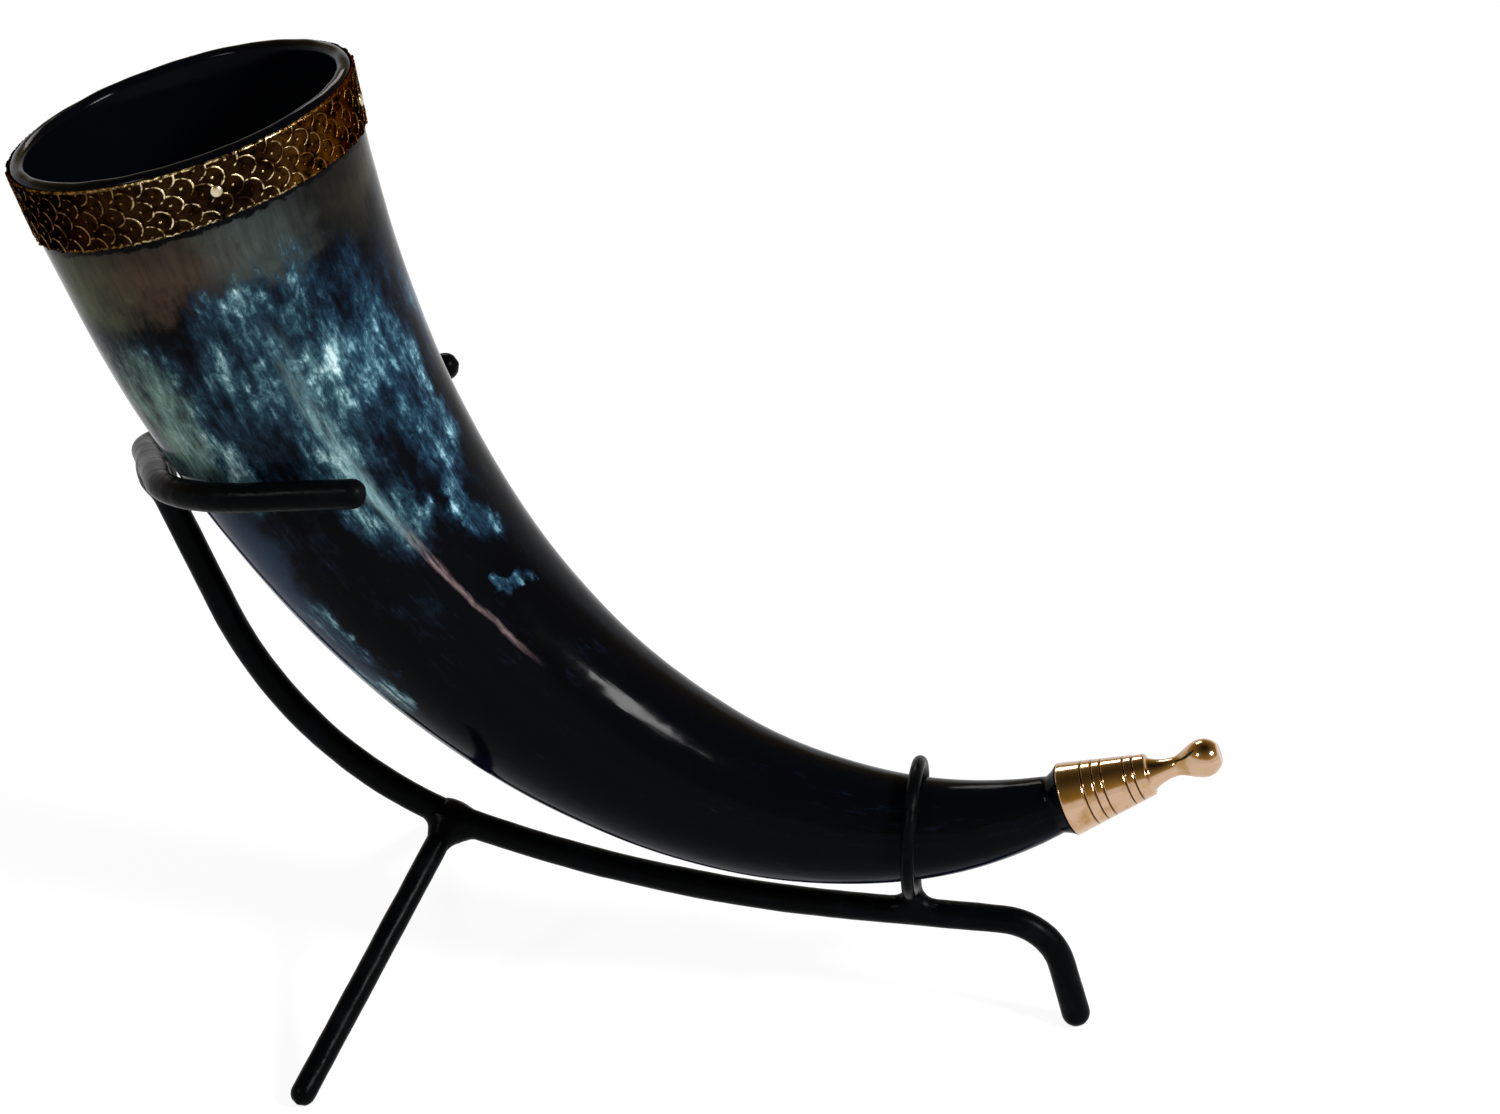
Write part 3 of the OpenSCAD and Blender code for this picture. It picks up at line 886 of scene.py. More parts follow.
@dataclass(frozen=True)
class PolishedMetal:
    """Turned or domed metal with a slight tarnish, and darker colour where it is grooved."""

    name: str
    clean: Colour
    tarnished: Colour
    roughness: float = 0.12
    groove_dark: Colour = tone("54361d")
    stains: NoiseLayer = NoiseLayer(4 * MM, 5, 0.6)
    stains_show: Span = (0.45, 0.75)
    groove_dark_shows: Span = (0.25, 0.75)
    scratches: NoiseLayer = NoiseLayer(0.5 * MM, 2)
    scratch_depth: float = 0.006 * MM
    duller: float = 0.12
    clean_polish: float = 0.04

    def material(self) -> bpy.types.Material:
        """Makes the material, with a soft stain. It reads how deep each point lies from an attribute.

        Returns:
            The material.
        """
        tree = ShaderTree(self.name)
        place = tree.place()
        stain = tree.cloud(place, self.stains)
        colour = tree.mixed(tree.between(stain, self.stains_show), self.clean, self.tarnished)
        # Darker colour in the grooves, set by how deep each point lies.
        colour = tree.mixed(tree.between(tree.mark("sunk"), self.groove_dark_shows), colour, self.groove_dark)
        rough = tree.scaled(stain, self.duller, self.roughness - self.clean_polish)
        wear = tree.bump(tree.cloud(place, self.scratches), self.scratch_depth)
        return tree.surface(Base_Color=colour, Metallic=1.0, Roughness=rough, Normal=wear)


@dataclass(frozen=True)
class BlackPaint:
    """Gloss black paint over hammered iron."""

    paint: Colour = tone("030405")
    worn: Colour = tone("0b0d11")
    patches: NoiseLayer = NoiseLayer(8 * MM, 5, 0.6)
    patches_show: Span = (0.5, 0.8)
    ripples: NoiseLayer = NoiseLayer(1.6 * MM, 3)
    ripple_depth: float = 0.05 * MM
    dents: NoiseLayer = NoiseLayer(6 * MM, 2)
    dent_depth: float = 0.35 * MM
    mirror: float = 0.022
    refraction: float = 1.5
    least_rough: float = 0.15
    rougher: float = 0.3

    def material(self) -> bpy.types.Material:
        """Makes the stand's material, with brush ripples and hammer marks.

        Returns:
            The material.
        """
        tree = ShaderTree("black_paint")
        place = tree.place()
        patch = tree.cloud(place, self.patches)
        colour = tree.mixed(tree.between(patch, self.patches_show), self.paint, self.worn)
        rough = tree.scaled(patch, self.rougher, self.least_rough)
        ripple = tree.bump(tree.cloud(place, self.ripples), self.ripple_depth)
        wear = tree.bump(tree.cloud(place, self.dents), self.dent_depth, ripple)
        gloss = {"IOR": self.refraction, "Specular_IOR_Level": self.mirror}
        return tree.surface(Base_Color=colour, Roughness=rough, Normal=wear, **gloss)


# The cup


@dataclass(frozen=True)
class HornShell:
    """The hollow horn: polished outside, rounded lip, smooth hollow and a peg for the finial."""

    line: HornLine
    sides: int = 160
    outer_rings: int = 260
    lip_rings: int = 9
    inner_rings: int = 90
    swell_rings: int = 9
    hollow_closed: float = 0.999
    inside_edge: float = 4
    peg_radius: float = 4.5 * MM
    peg_length: float = 8 * MM
    rim_step: float = 0.15 * MM
    waviness: float = 0.22 * MM
    wave_size: float = 22 * MM
    lip_dip: float = 0.16 * MM
    dip_size: float = 6 * MM
    # Shares of the length: the waves start past the lip, reach their height, and die out before the tip
    waves_from: float = 0.05
    waves_grow: float = 0.03
    waves_fade: float = 0.02

    def build(self) -> None:
        """Builds the horn and puts it in place of its CAD node."""
        turn = np.linspace(-270, 90, self.sides, endpoint=False)
        half = self.line.lip_wall / 2
        base = half / self.line.length
        lip_middle = float(self.line.radius(base)) - half
        swell = self.line.swell_share
        tip_end = np.linspace(1, swell, self.swell_rings)[:-1]
        outer = np.concatenate([tip_end, np.linspace(swell, base, self.outer_rings)])
        swollen = np.clip((outer - swell) / (1 - swell), 0, 1)
        end_radius = self.line.finial_radius - self.rim_step
        outer_radius = self.line.radius(outer) + (end_radius - self.line.radius(outer)) * swollen
        curl = np.linspace(0, math.pi, self.lip_rings + 2)[1:-1]
        depth = np.sin(np.linspace(0, math.pi / 2, self.inner_rings))
        inner = base + (self.hollow_closed * self.line.hollow_share - base) * depth
        inner_radius = self.line.hollow(inner)
        inner_radius[0] = lip_middle - half
        share = np.concatenate([[1, 1], outer, np.full(len(curl), base), inner])
        lip_radius = lip_middle + half * np.cos(curl)
        radius = np.concatenate([[self.peg_radius] * 2, outer_radius, lip_radius, inner_radius])
        push = np.concatenate([[self.peg_length, 0], 0 * outer, -half * np.sin(curl), 0 * inner])
        lift = self.line.finial_lift * np.concatenate([[1, 1], swollen, 0 * curl, 0 * inner])[:, None]
        grid = self.line.point(share[:, None], radius[:, None], turn[None, :], push[:, None], lift)

        mouth = np.concatenate([[0, 0], 0 * outer, np.sin(curl), 0 * inner])[:, None]
        peeled = np.concatenate([[0, 0], np.ones(len(outer)), np.cos(curl), -np.ones(len(inner))])
        sunk = self.waviness * np.clip(0.5 + unevenness(grid, self.wave_size, seed=1), 0, 1)
        dips = self.lip_dip * mouth * np.clip(0.5 + unevenness(grid, self.dip_size, seed=2), 0, 1)
        begun = np.clip((share - self.waves_from) / self.waves_grow, 0, 1)
        free = begun * np.clip((1 - share) / self.waves_fade, 0, 1)
        radius_now = radius[:, None] - sunk * free[:, None] * np.maximum(peeled, 0)[:, None]
        grid = self.line.point(share[:, None], radius_now, turn[None, :], push[:, None] + dips, lift)

        mesh = ring_mesh("horn_shell", grid, round_rings=True, closed=False)
        mark_points(mesh, "inside", np.repeat(np.clip(-self.inside_edge * peeled, 0, 1), self.sides))
        self.chart(mesh, share)
        finish_piece(mesh, "horn", Body.CUP, MottledHorn(self.line).material())

    def chart(self, mesh: bpy.types.Mesh, share: np.ndarray) -> None:
        """Lays out the UV map: round the horn from its far side, and along it.

        Args:
            mesh: The horn.
            share: Share of the length of each ring.
        """
        corner_point = np.empty(len(mesh.loops), dtype=np.int64)
        mesh.loops.foreach_get("vertex_index", corner_point)
        column = corner_point % self.sides
        around = column / self.sides
        start = np.empty(len(mesh.polygons), dtype=np.int64)
        total = np.empty(len(mesh.polygons), dtype=np.int64)
        mesh.polygons.foreach_get("loop_start", start)
        mesh.polygons.foreach_get("loop_total", total)
        for first, count in zip(start[total == 4], total[total == 4]):
            corners = slice(first, first + count)
            if around[corners].max() - around[corners].min() > 0.5:
                around[corners] = np.where(around[corners] < 0.5, around[corners] + 1, around[corners])
        along = share[corner_point // self.sides]
        layer = mesh.uv_layers.new(name=HORN_CHART)
        layer.data.foreach_set("uv", np.stack([around, along], 1).astype(np.float32).ravel())


@dataclass(frozen=True)
class RimBand:
    """One wrap of brass strip, embossed with rows of overlapping scales, with its ends lapped."""

    line: HornLine
    width: float = 14 * MM
    thickness: float = 0.8 * MM
    sheet: float = 0.5 * MM
    lip_show: float = 0.8 * MM
    lap_middle: float = 100
    lap_length: float = 8 * MM
    seat: float = 0.05 * MM
    pitch: float = 6.4 * MM
    row_step: float = 3 * MM
    scale_radius: float = 2.45 * MM
    ridge: float = 0.24 * MM
    dot: float = 0.38 * MM
    margin: float = 0.35 * MM
    step: float = 0.36 * MM
    lap_slope: float = 1.5 * MM
    # Depth of each kind of hand work on the strip, and the size of its patches
    hammering: Span = (0.05 * MM, 2.2 * MM)
    wavering: Span = (0.12 * MM, 5 * MM)
    crimping: Span = (0.12 * MM, 9 * MM)
    crimp: float = 1.7 * MM
    upper_waver: float = -0.4
    edge_round: float = 0.4 * MM
    edge_proud: float = 0.9
    face_proud: float = 0.3
    scale_proud: float = 0.35
    scale_sink: float = 0.2
    dented_nail: float = 297
    dent_aside: tuple[float, float] = (4.6 * MM, -2.6 * MM)
    dent_radius: float = 2.7 * MM
    dent_depth: float = 0.3 * MM
    # The punch that strikes a scale: an arch, in radians from the strip's length, over a flattened dot
    arch_start: float = -1.25
    arch_sweep: float = 2.95
    arch_points: int = 19
    arch_sides: int = 8
    dot_height: float = 0.6
    first_row: float = 0.35
    slip: tuple[float, float, float] = (0.25 * MM, 0.2 * MM, 0)
    tilt: tuple[float, float, float] = (0, 0, 0.3)
    least_size: tuple[float, float, float] = (0.88, 0.88, 0.55)
    most_size: tuple[float, float, float] = (1.08, 1.08, 1.05)
    seed: int = 5

    @property
    def lap_turn(self) -> float:
        """Angle that the lap covers, in degrees."""
        return math.degrees(self.lap_length / self.line.mouth_radius)

    @property
    def strip_length(self) -> float:
        """Length of the strip laid flat, with its lap."""
        return 2 * math.pi * self.line.mouth_radius + self.lap_length

    def build(self) -> None:
        """Builds the embossed strip flat, wraps it round the horn and puts it in place."""
        scales = self.scale_mesh()
        flat = mesh_points(scales)
        flat[:, 0] = np.clip(flat[:, 0], self.margin, self.strip_length - self.margin)
        flat[:, 1] = np.clip(flat[:, 1], self.margin, self.width - self.margin)
        sink = self.scale_sink * self.ridge
        flat[:, 2] = (flat[:, 2] + sink) * self.unworn(flat) - sink
        proud = np.clip(flat[:, 2] / self.ridge, 0, 1)
        move_points(scales, self.wrapped(flat, self.sheet))
        mark_points(scales, "proud", self.scale_proud + (1 - self.scale_proud) * proud)

        strip = self.strip_mesh()
        joined = join_meshes("embossed_band", [strip, scales])
        finish_piece(joined, "rim_band", Body.CUP, AgedBrass().material())

    def unworn(self, flat: np.ndarray) -> np.ndarray:
        """Returns how well the scales have lasted beside the first nail, where the strip is dented.

        Args:
            flat: Rows of distance along the strip and height above its lower edge.

        Returns:
            1 where they stand clear, down to 0 in the middle of the dent.
        """
        nail_at = math.radians(self.dented_nail - self.lap_middle + self.lap_turn / 2) * self.line.mouth_radius
        along = flat[..., 0] - nail_at - self.dent_aside[0]
        height = flat[..., 1] - self.width / 2 - self.dent_aside[1]
        return 1 - np.exp(-((np.hypot(along, height) / self.dent_radius) ** 4))

    def wrapped(self, flat: np.ndarray, lift: float) -> np.ndarray:
        """Wraps places on the flat strip round the horn.

        Args:
            flat: Rows of distance along the strip, height above its lower edge and height off its face.
            lift: Height of the face above the horn.

        Returns:
            The places in the frame.
        """
        turn = self.lap_middle - self.lap_turn / 2 + np.degrees(flat[..., 0] / self.line.mouth_radius)
        share = (self.lip_show + self.width - flat[..., 1]) / self.line.length
        past = (flat[..., 0] - (self.strip_length - self.lap_length)) / self.lap_slope + 1
        over = self.thickness * np.clip(past, 0, 1)
        radius = self.line.radius(share) + self.seat + over + lift + flat[..., 2]
        return self.line.point(share, radius, turn)

    def strip_mesh(self) -> bpy.types.Mesh:
        """Makes the plain strip: a thin sheet with softly hammered faces and worn edges.

        Returns:
            The strip, wrapped round the horn.
        """
        columns = int(self.strip_length / self.step)
        rows = int(self.width / self.step)
        along = np.linspace(0, self.strip_length, columns)
        height = np.linspace(0, self.width, rows)
        spread, rise = np.meshgrid(along, height)
        edge = np.minimum(np.minimum(rise, self.width - rise), np.minimum(spread, self.strip_length - spread))
        inward = 1 - np.minimum(edge / self.edge_round, 1)
        round_over = self.sheet / 2 * (1 - np.sqrt(np.clip(1 - inward**2, 0, 1)))
        places = np.stack([spread, rise, 0 * rise], -1)
        depth, size = self.hammering
        dents = depth * (unevenness(places, size, seed=3) - 1) - self.dent_depth * (1 - self.unworn(places))
        depth, size = self.crimping
        crimps = depth * (1 - np.cos(2 * math.pi * spread / self.crimp)) * (unevenness(places, size, seed=9) + 1)
        depth, size = self.wavering
        waver = depth * (unevenness(places * (1, 0, 1), size, seed=4) + 1) + crimps
        waver = np.where(rise < self.width / 2, waver, self.upper_waver * waver)
        rise = rise + waver * np.abs(2 * rise / self.width - 1)
        face = np.stack([spread, rise, dents - round_over], -1)
        back = np.stack([spread, rise, 0 * rise], -1)
        rings = np.concatenate([self.wrapped(face, self.sheet), self.wrapped(back, 0.0)[::-1]])
        mesh = ring_mesh("strip", rings, round_rings=False, closed=True)
        close_sides(mesh, 2 * rows, columns)
        # Edges are marked prouder than the face, so they show worn bright and also take the band's painted highlight.
        rubbed_and_highlit = np.where(edge < self.edge_round, self.edge_proud, self.face_proud) * self.unworn(places)
        mark_points(mesh, "proud", np.concatenate([rubbed_and_highlit, 0 * rubbed_and_highlit]).ravel())
        return mesh

    def scale_mesh(self) -> bpy.types.Mesh:
        """Makes the rows of raised scales on the flat strip, each an arch over a dot.

        Returns:
            The scales, laid flat.
        """
        tree = GrowthTree(
            "scale_rows",
            {
                "Columns": "NodeSocketInt",
                "Rows": "NodeSocketInt",
                "Pitch": "NodeSocketFloat",
                "Row Step": "NodeSocketFloat",
                "Scale Radius": "NodeSocketFloat",
                "Ridge": "NodeSocketFloat",
                "Dot": "NodeSocketFloat",
                "Seed": "NodeSocketInt",
                "Material": "NodeSocketMaterial",
            },
        )
        given = tree.given
        total = tree.times(given["Columns"], given["Rows"])
        line = tree.add("GeometryNodeMeshLine", {"Count": total, "Offset": (0, 0, 0)})
        index = tree.add("GeometryNodeInputIndex").outputs[0]
        row = tree.maths("FLOOR", tree.maths("DIVIDE", index, given["Columns"]))
        column = tree.maths("MODULO", index, given["Columns"])
        stagger = tree.times(tree.maths("MODULO", row, 2.0), 0.5)
        along = tree.times(tree.plus(column, stagger), given["Pitch"])
        height = tree.times(tree.plus(row, self.first_row), given["Row Step"])
        slip = self.hand_error(tree, self.opposite(self.slip), self.slip, stream=1)
        seats = tree.add(
            "GeometryNodeSetPosition",
            {"Geometry": line.outputs[0], "Position": tree.vector(along, height, 0.0), "Offset": slip},
        )
        arc = tree.add(
            "GeometryNodeCurveArc",
            {
                "Resolution": self.arch_points,
                "Radius": given["Scale Radius"],
                "Start Angle": self.arch_start,
                "Sweep Angle": self.arch_sweep,
            },
            mode="RADIUS",
        )
        wire = tree.add(
            "GeometryNodeCurvePrimitiveCircle",
            {"Resolution": self.arch_sides, "Radius": given["Ridge"]},
            mode="RADIUS",
        )
        arch = tree.add(
            "GeometryNodeCurveToMesh", {"Curve": arc.outputs[0], "Profile Curve": wire.outputs[0], "Fill Caps": True}
        )
        bead = tree.add("GeometryNodeMeshIcoSphere", {"Radius": given["Dot"], "Subdivisions": 2})
        raised = tree.add("GeometryNodeTransform", {"Geometry": bead.outputs[0], "Scale": (1, 1, self.dot_height)})
        motif = tree.add("GeometryNodeJoinGeometry")
        tree.nodes.links.new(arch.outputs[0], motif.inputs[0])
        tree.nodes.links.new(raised.outputs[0], motif.inputs[0])
        tilt = self.hand_error(tree, self.opposite(self.tilt), self.tilt, stream=2)
        tilted = tree.add("FunctionNodeEulerToRotation", {0: tilt})
        placed = tree.add(
            "GeometryNodeInstanceOnPoints",
            {
                "Points": seats.outputs[0],
                "Instance": motif.outputs[0],
                "Rotation": tilted.outputs[0],
                "Scale": self.hand_error(tree, self.least_size, self.most_size, stream=3),
            },
        )
        tree.close(placed.outputs[0])
        columns = round(self.strip_length / self.pitch) + 1
        values = {
            "Columns": columns,
            "Rows": round(self.width / self.row_step),
            "Pitch": self.strip_length / (columns - 0.5),
            "Row Step": self.row_step,
            "Scale Radius": self.scale_radius,
            "Ridge": self.ridge,
            "Dot": self.dot,
            "Seed": self.seed,
        }
        return tree.grow("scales", bpy.data.meshes.new("scale_seed"), values)

    @staticmethod
    def opposite(most: Sequence[float]) -> Sequence[float]:
        """Returns the same reach the other way."""
        return tuple(-part for part in most)

    @staticmethod
    def hand_error(tree: GrowthTree, low: Sequence[float], high: Sequence[float], stream: int) -> Socket:
        """Returns a random vector for each scale.

        Args:
            tree: The tree that it goes into, with an input called Seed.
            low: The least of each part.
            high: The most of each part.
            stream: Keeps this vector apart from the others.

        Returns:
            The vector.
        """
        seed = tree.plus(tree.given["Seed"], 10.0 * stream)
        node = tree.add("FunctionNodeRandomValue", {0: low, 1: high, "Seed": seed}, data_type="FLOAT_VECTOR")
        return node.outputs[0]


def join_meshes(name: str, meshes: Iterable[bpy.types.Mesh]) -> bpy.types.Mesh:
    """Joins meshes that carry the same attribute into one.

    Args:
        name: The joined mesh's name.
        meshes: The meshes, each with an attribute called proud.

    Returns:
        The joined mesh.
    """
    points: list[list[float]] = []
    faces: list[list[int]] = []
    proud: list[np.ndarray] = []
    for mesh in meshes:
        faces += [[corner + len(points) for corner in face.vertices] for face in mesh.polygons]
        points += mesh_points(mesh).tolist()
        values = np.empty(len(mesh.vertices), dtype=np.float32)
        mesh.attributes["proud"].data.foreach_get("value", values)
        proud.append(values)
    joined = bpy.data.meshes.new(name)
    joined.from_pydata(points, [], faces)
    joined.update()
    mark_points(joined, "proud", np.concatenate(proud))
    return joined


def close_sides(mesh: bpy.types.Mesh, rows: int, columns: int) -> None:
    """Closes the two open sides of a flattened tube of rows that was made with open rings.

    Args:
        mesh: The tube.
        rows: How many rows of points it has, front and back together.
        columns: Points in a row.
    """
    half = rows // 2
    points = mesh_points(mesh).tolist()
    faces = [list(face.vertices) for face in mesh.polygons]
    for row in range(half - 1):
        front, back = row * columns, (rows - 1 - row) * columns
        faces.append([front, back, back - columns, front + columns])
        last = columns - 1
        faces.append([front + last, front + columns + last, back - columns + last, back + last])
    mesh.clear_geometry()
    mesh.from_pydata(points, [], faces)
    mesh.update()


@dataclass(frozen=True)
class BandNails:
    """Four small domed nails through the strip."""

    line: HornLine
    band: RimBand
    turns: tuple[float, ...] = (-63, 8, 100, 194)
    head_radius: float = 1.25 * MM
    head_height: float = 0.6 * MM
    shank_radius: float = 0.56 * MM
    shank_length: float = 2.6 * MM
    head_sides: int = 28
    head_rings: int = 14
    shank_sides: int = 16

    def build(self) -> None:
        """Builds the nails with geometry nodes and puts them in place of their CAD node."""
        share = (self.band.lip_show + self.band.width / 2) / self.line.length
        turns = np.array(self.turns)
        lift = np.where(turns == self.band.lap_middle, 2, 1) * self.band.thickness + 2 * self.band.seat
        radius = float(self.line.radius(share)) + lift
        seats = self.line.point(np.full(len(turns), share), radius, turns)
        outward = seats - self.line.point(np.full(len(turns), share), radius - MM, turns)
        points = bpy.data.meshes.new("nail_seats")
        points.from_pydata(seats.tolist(), [], [])
        layer = points.attributes.new("outward", "FLOAT_VECTOR", "POINT")
        layer.data.foreach_set("vector", outward.astype(np.float32).ravel())
        finish = PolishedMetal("nail_metal", tone("c9bea0"), tone("7d7155"), roughness=0.25).material()
        mesh = self.nail_tree().grow(
            "nails",
            points,
            {
                "Head Radius": self.head_radius,
                "Head Height": self.head_height,
                "Shank Radius": self.shank_radius,
                "Shank Length": self.shank_length,
                "Material": finish,
            },
        )
        finish_piece(mesh, "band_nails", Body.CUP, finish)

    def nail_tree(self) -> GrowthTree:
        """Makes the tree that sets one domed nail on each point, along its outward direction.

        Returns:
            The tree.
        """
        sizes = {size: "NodeSocketFloat" for size in ("Head Radius", "Head Height", "Shank Radius", "Shank Length")}
        tree = GrowthTree("domed_nails", {**sizes, "Material": "NodeSocketMaterial"})
        given = tree.given
        ball = {"Segments": self.head_sides, "Rings": self.head_rings, "Radius": 1.0}
        dome = tree.add("GeometryNodeMeshUVSphere", ball)
        spread = tree.vector(given["Head Radius"], given["Head Radius"], given["Head Height"])
        head = tree.add("GeometryNodeTransform", {"Geometry": dome.outputs[0], "Scale": spread})
        pin = {"Vertices": self.shank_sides, "Radius": given["Shank Radius"], "Depth": given["Shank Length"]}
        shank = tree.add("GeometryNodeMeshCylinder", pin)
        down = tree.vector(0.0, 0.0, tree.times(given["Shank Length"], -0.5))
        sunk = tree.add("GeometryNodeTransform", {"Geometry": shank.outputs[0], "Translation": down})
        nail = tree.add("GeometryNodeJoinGeometry")
        tree.nodes.links.new(head.outputs[0], nail.inputs[0])
        tree.nodes.links.new(sunk.outputs[0], nail.inputs[0])
        outward = tree.add("GeometryNodeInputNamedAttribute", {"Name": "outward"}, data_type="FLOAT_VECTOR")
        facing = tree.add("FunctionNodeAlignRotationToVector", {"Vector": outward.outputs[0]}, axis="Z")
        placed = tree.add(
            "GeometryNodeInstanceOnPoints",
            {"Points": given["Geometry"], "Instance": nail.outputs[0], "Rotation": facing.outputs[0]},
        )
        tree.close(placed.outputs[0])
        return tree


@dataclass(frozen=True)
class TipFinial:
    """The turned brass tip: a grooved cone, a waisted neck and a knob, bored for the horn's peg."""

    line: HornLine
    cone: float = 19 * MM
    shoulder_share: float = 0.55
    shoulder_neck: float = 3.5 * MM
    neck: float = 2.1 * MM
    neck_at: float = 0.36
    neck_length: float = 15 * MM
    knob: float = 4.1 * MM
    knob_flat: float = 0.6 * MM
    grooves: tuple[float, ...] = (0.28, 0.4, 0.5, 0.75, 0.85)
    groove_depth: float = 0.24 * MM
    groove_reach: float = 0.24 * MM
    rim_round: float = 0.3 * MM
    rim_reach: float = 0.4 * MM
    shoulder_reach: float = 0.6 * MM
    # Where the points of the cone, the neck and the ball start, and how many each has
    cone_start: float = 0.1 * MM
    cone_points: int = 190
    neck_start: float = 0.15 * MM
    neck_points: int = 44
    knob_start: float = 0.12
    knob_points: int = 18
    # Powers that shape the fall to the neck and the swell to the ball
    neck_curves: tuple[float, float] = (2.2, 1.6)
    bore: float = 4.55 * MM
    bore_depth: float = 8.05 * MM
    bore_skin: float = 0.1 * MM
    seat: float = 0.05 * MM
    sides: int = 128

    def grooved(self, at: float) -> float:
        """Returns how deep in a groove a distance along the cone lies, from 0 to 1."""
        near = min(abs(at - share * self.cone) for share in self.grooves)
        return max(0.0, 1 - (near / self.groove_reach) ** 2)

    def cone_profile(self) -> list[tuple[float, float]]:
        """Draws the grooved cone, with its rim and shoulder rounded.

        Returns:
            Distance along and radius of each point.
        """
        wide = self.line.finial_radius
        narrow = wide * self.shoulder_share
        outline = []
        for at in np.linspace(self.cone_start, self.cone, self.cone_points):
            cut = self.groove_depth * self.grooved(at)
            soft = self.rim_round * max(0.0, 1 - at / self.rim_reach) ** 2
            fall = (narrow - self.shoulder_neck) * max(0.0, 1 - (self.cone - at) / self.shoulder_reach) ** 2
            outline.append((at, wide + (narrow - wide) * at / self.cone - cut - soft - fall))
        return outline

    def neck_profile(self) -> list[tuple[float, float]]:
        """Draws the neck and the knob, down to the flat at its end.

        Returns:
            Distance along and radius of each point.
        """
        middle = self.cone + self.neck_length + self.knob_flat - self.knob
        waist = self.cone + self.neck_at * self.neck_length
        outline = []
        for at in np.linspace(self.cone + self.neck_start, middle, self.neck_points):
            before = max(0.0, (waist - at) / (waist - self.cone))
            after = max(0.0, (at - waist) / (middle - waist))
            swell = (self.knob - self.neck) * math.sin(after * math.pi / 2) ** self.neck_curves[1]
            root = (self.shoulder_neck - self.neck) * before ** self.neck_curves[0]
            outline.append((at, self.neck + root + swell))
        last = math.asin(1 - self.knob_flat / self.knob)
        for angle in np.linspace(self.knob_start, last, self.knob_points):
            outline.append((middle + self.knob * math.sin(angle), self.knob * math.cos(angle)))
        return outline

    def profile(self) -> list[tuple[float, float]]:
        """Draws the whole finial, from the bore, over the cone and neck, to the knob's end.

        Returns:
            Distance along and radius of each point.
        """
        tip = self.cone + self.neck_length
        rim = self.line.finial_radius - self.rim_round
        bore = [(self.bore_depth, 0.0), (self.bore_depth, self.bore), (0.0, self.bore), (0.0, rim)]
        return bore + self.cone_profile() + self.neck_profile() + [(tip, 0.0)]

    def build(self) -> None:
        """Builds the finial and puts it in place of its CAD node."""
        rings = turned_rings(self.profile(), self.sides)
        heading = float(self.line.heading(np.array(1.0)))
        cosine, sine = math.cos(heading), math.sin(heading)
        end_x, end_z = self.line.centre(np.array(1.0))
        x, y, z = rings[..., 0] + self.seat, rings[..., 1], rings[..., 2] + self.line.finial_lift
        placed = np.stack([end_x + x * cosine - z * sine, y, end_z + x * sine + z * cosine], -1)
        mesh = ring_mesh("finial", placed[1:-1], round_rings=True, closed=False)
        outside = rings[1:-1, :, 1:].max(axis=(1, 2)) > self.bore + self.bore_skin
        sunk = [self.grooved(float(ring[0, 0])) * wide for ring, wide in zip(rings[1:-1], outside)]
        mark_points(mesh, "sunk", np.repeat(sunk, self.sides))
        finish = PolishedMetal("bright_brass", tone("c4a488"), tone("a8834e"), roughness=0.1).material()
        finish_piece(mesh, "tip_finial", Body.CUP, finish)


# The stand


def rounded_route(corners: Sequence[Sequence[float]], radii: Sequence[float], step: float) -> np.ndarray:
    """Returns points along straights joined by round bends, in a plane.

    Args:
        corners: The corner points.
        radii: Radius of the bend at each corner between the ends.
        step: Distance between points on a bend.

    Returns:
        The points, as rows of two.
    """
    points = [np.array(corners[0], dtype=float)]
    for before, corner, after, radius in zip(corners, corners[1:], corners[2:], radii):
        corner = np.array(corner, dtype=float)
        way_in = (corner - before) / np.linalg.norm(corner - before)
        way_out = (after - corner) / np.linalg.norm(after - corner)
        turn = math.atan2(way_in[0] * way_out[1] - way_in[1] * way_out[0], float(way_in @ way_out))
        start = corner - way_in * radius * math.tan(abs(turn) / 2)
        hub = start + math.copysign(radius, turn) * np.array([-way_in[1], way_in[0]])
        for share in np.linspace(0, 1, max(2, int(abs(turn) * radius / step))):
            cosine, sine = math.cos(turn * share), math.sin(turn * share)
            arm = start - hub
            points.append(hub + np.array([arm[0] * cosine - arm[1] * sine, arm[0] * sine + arm[1] * cosine]))
    points.append(np.array(corners[-1], dtype=float))
    return np.array(points)


def smooth_least(first: float, second: float, reach: float) -> float:
    """Returns the lesser of two distances, blended where they are closer than reach."""
    blend = max(reach - abs(first - second), 0.0) / reach
    return min(first, second) - blend * blend * reach / 4


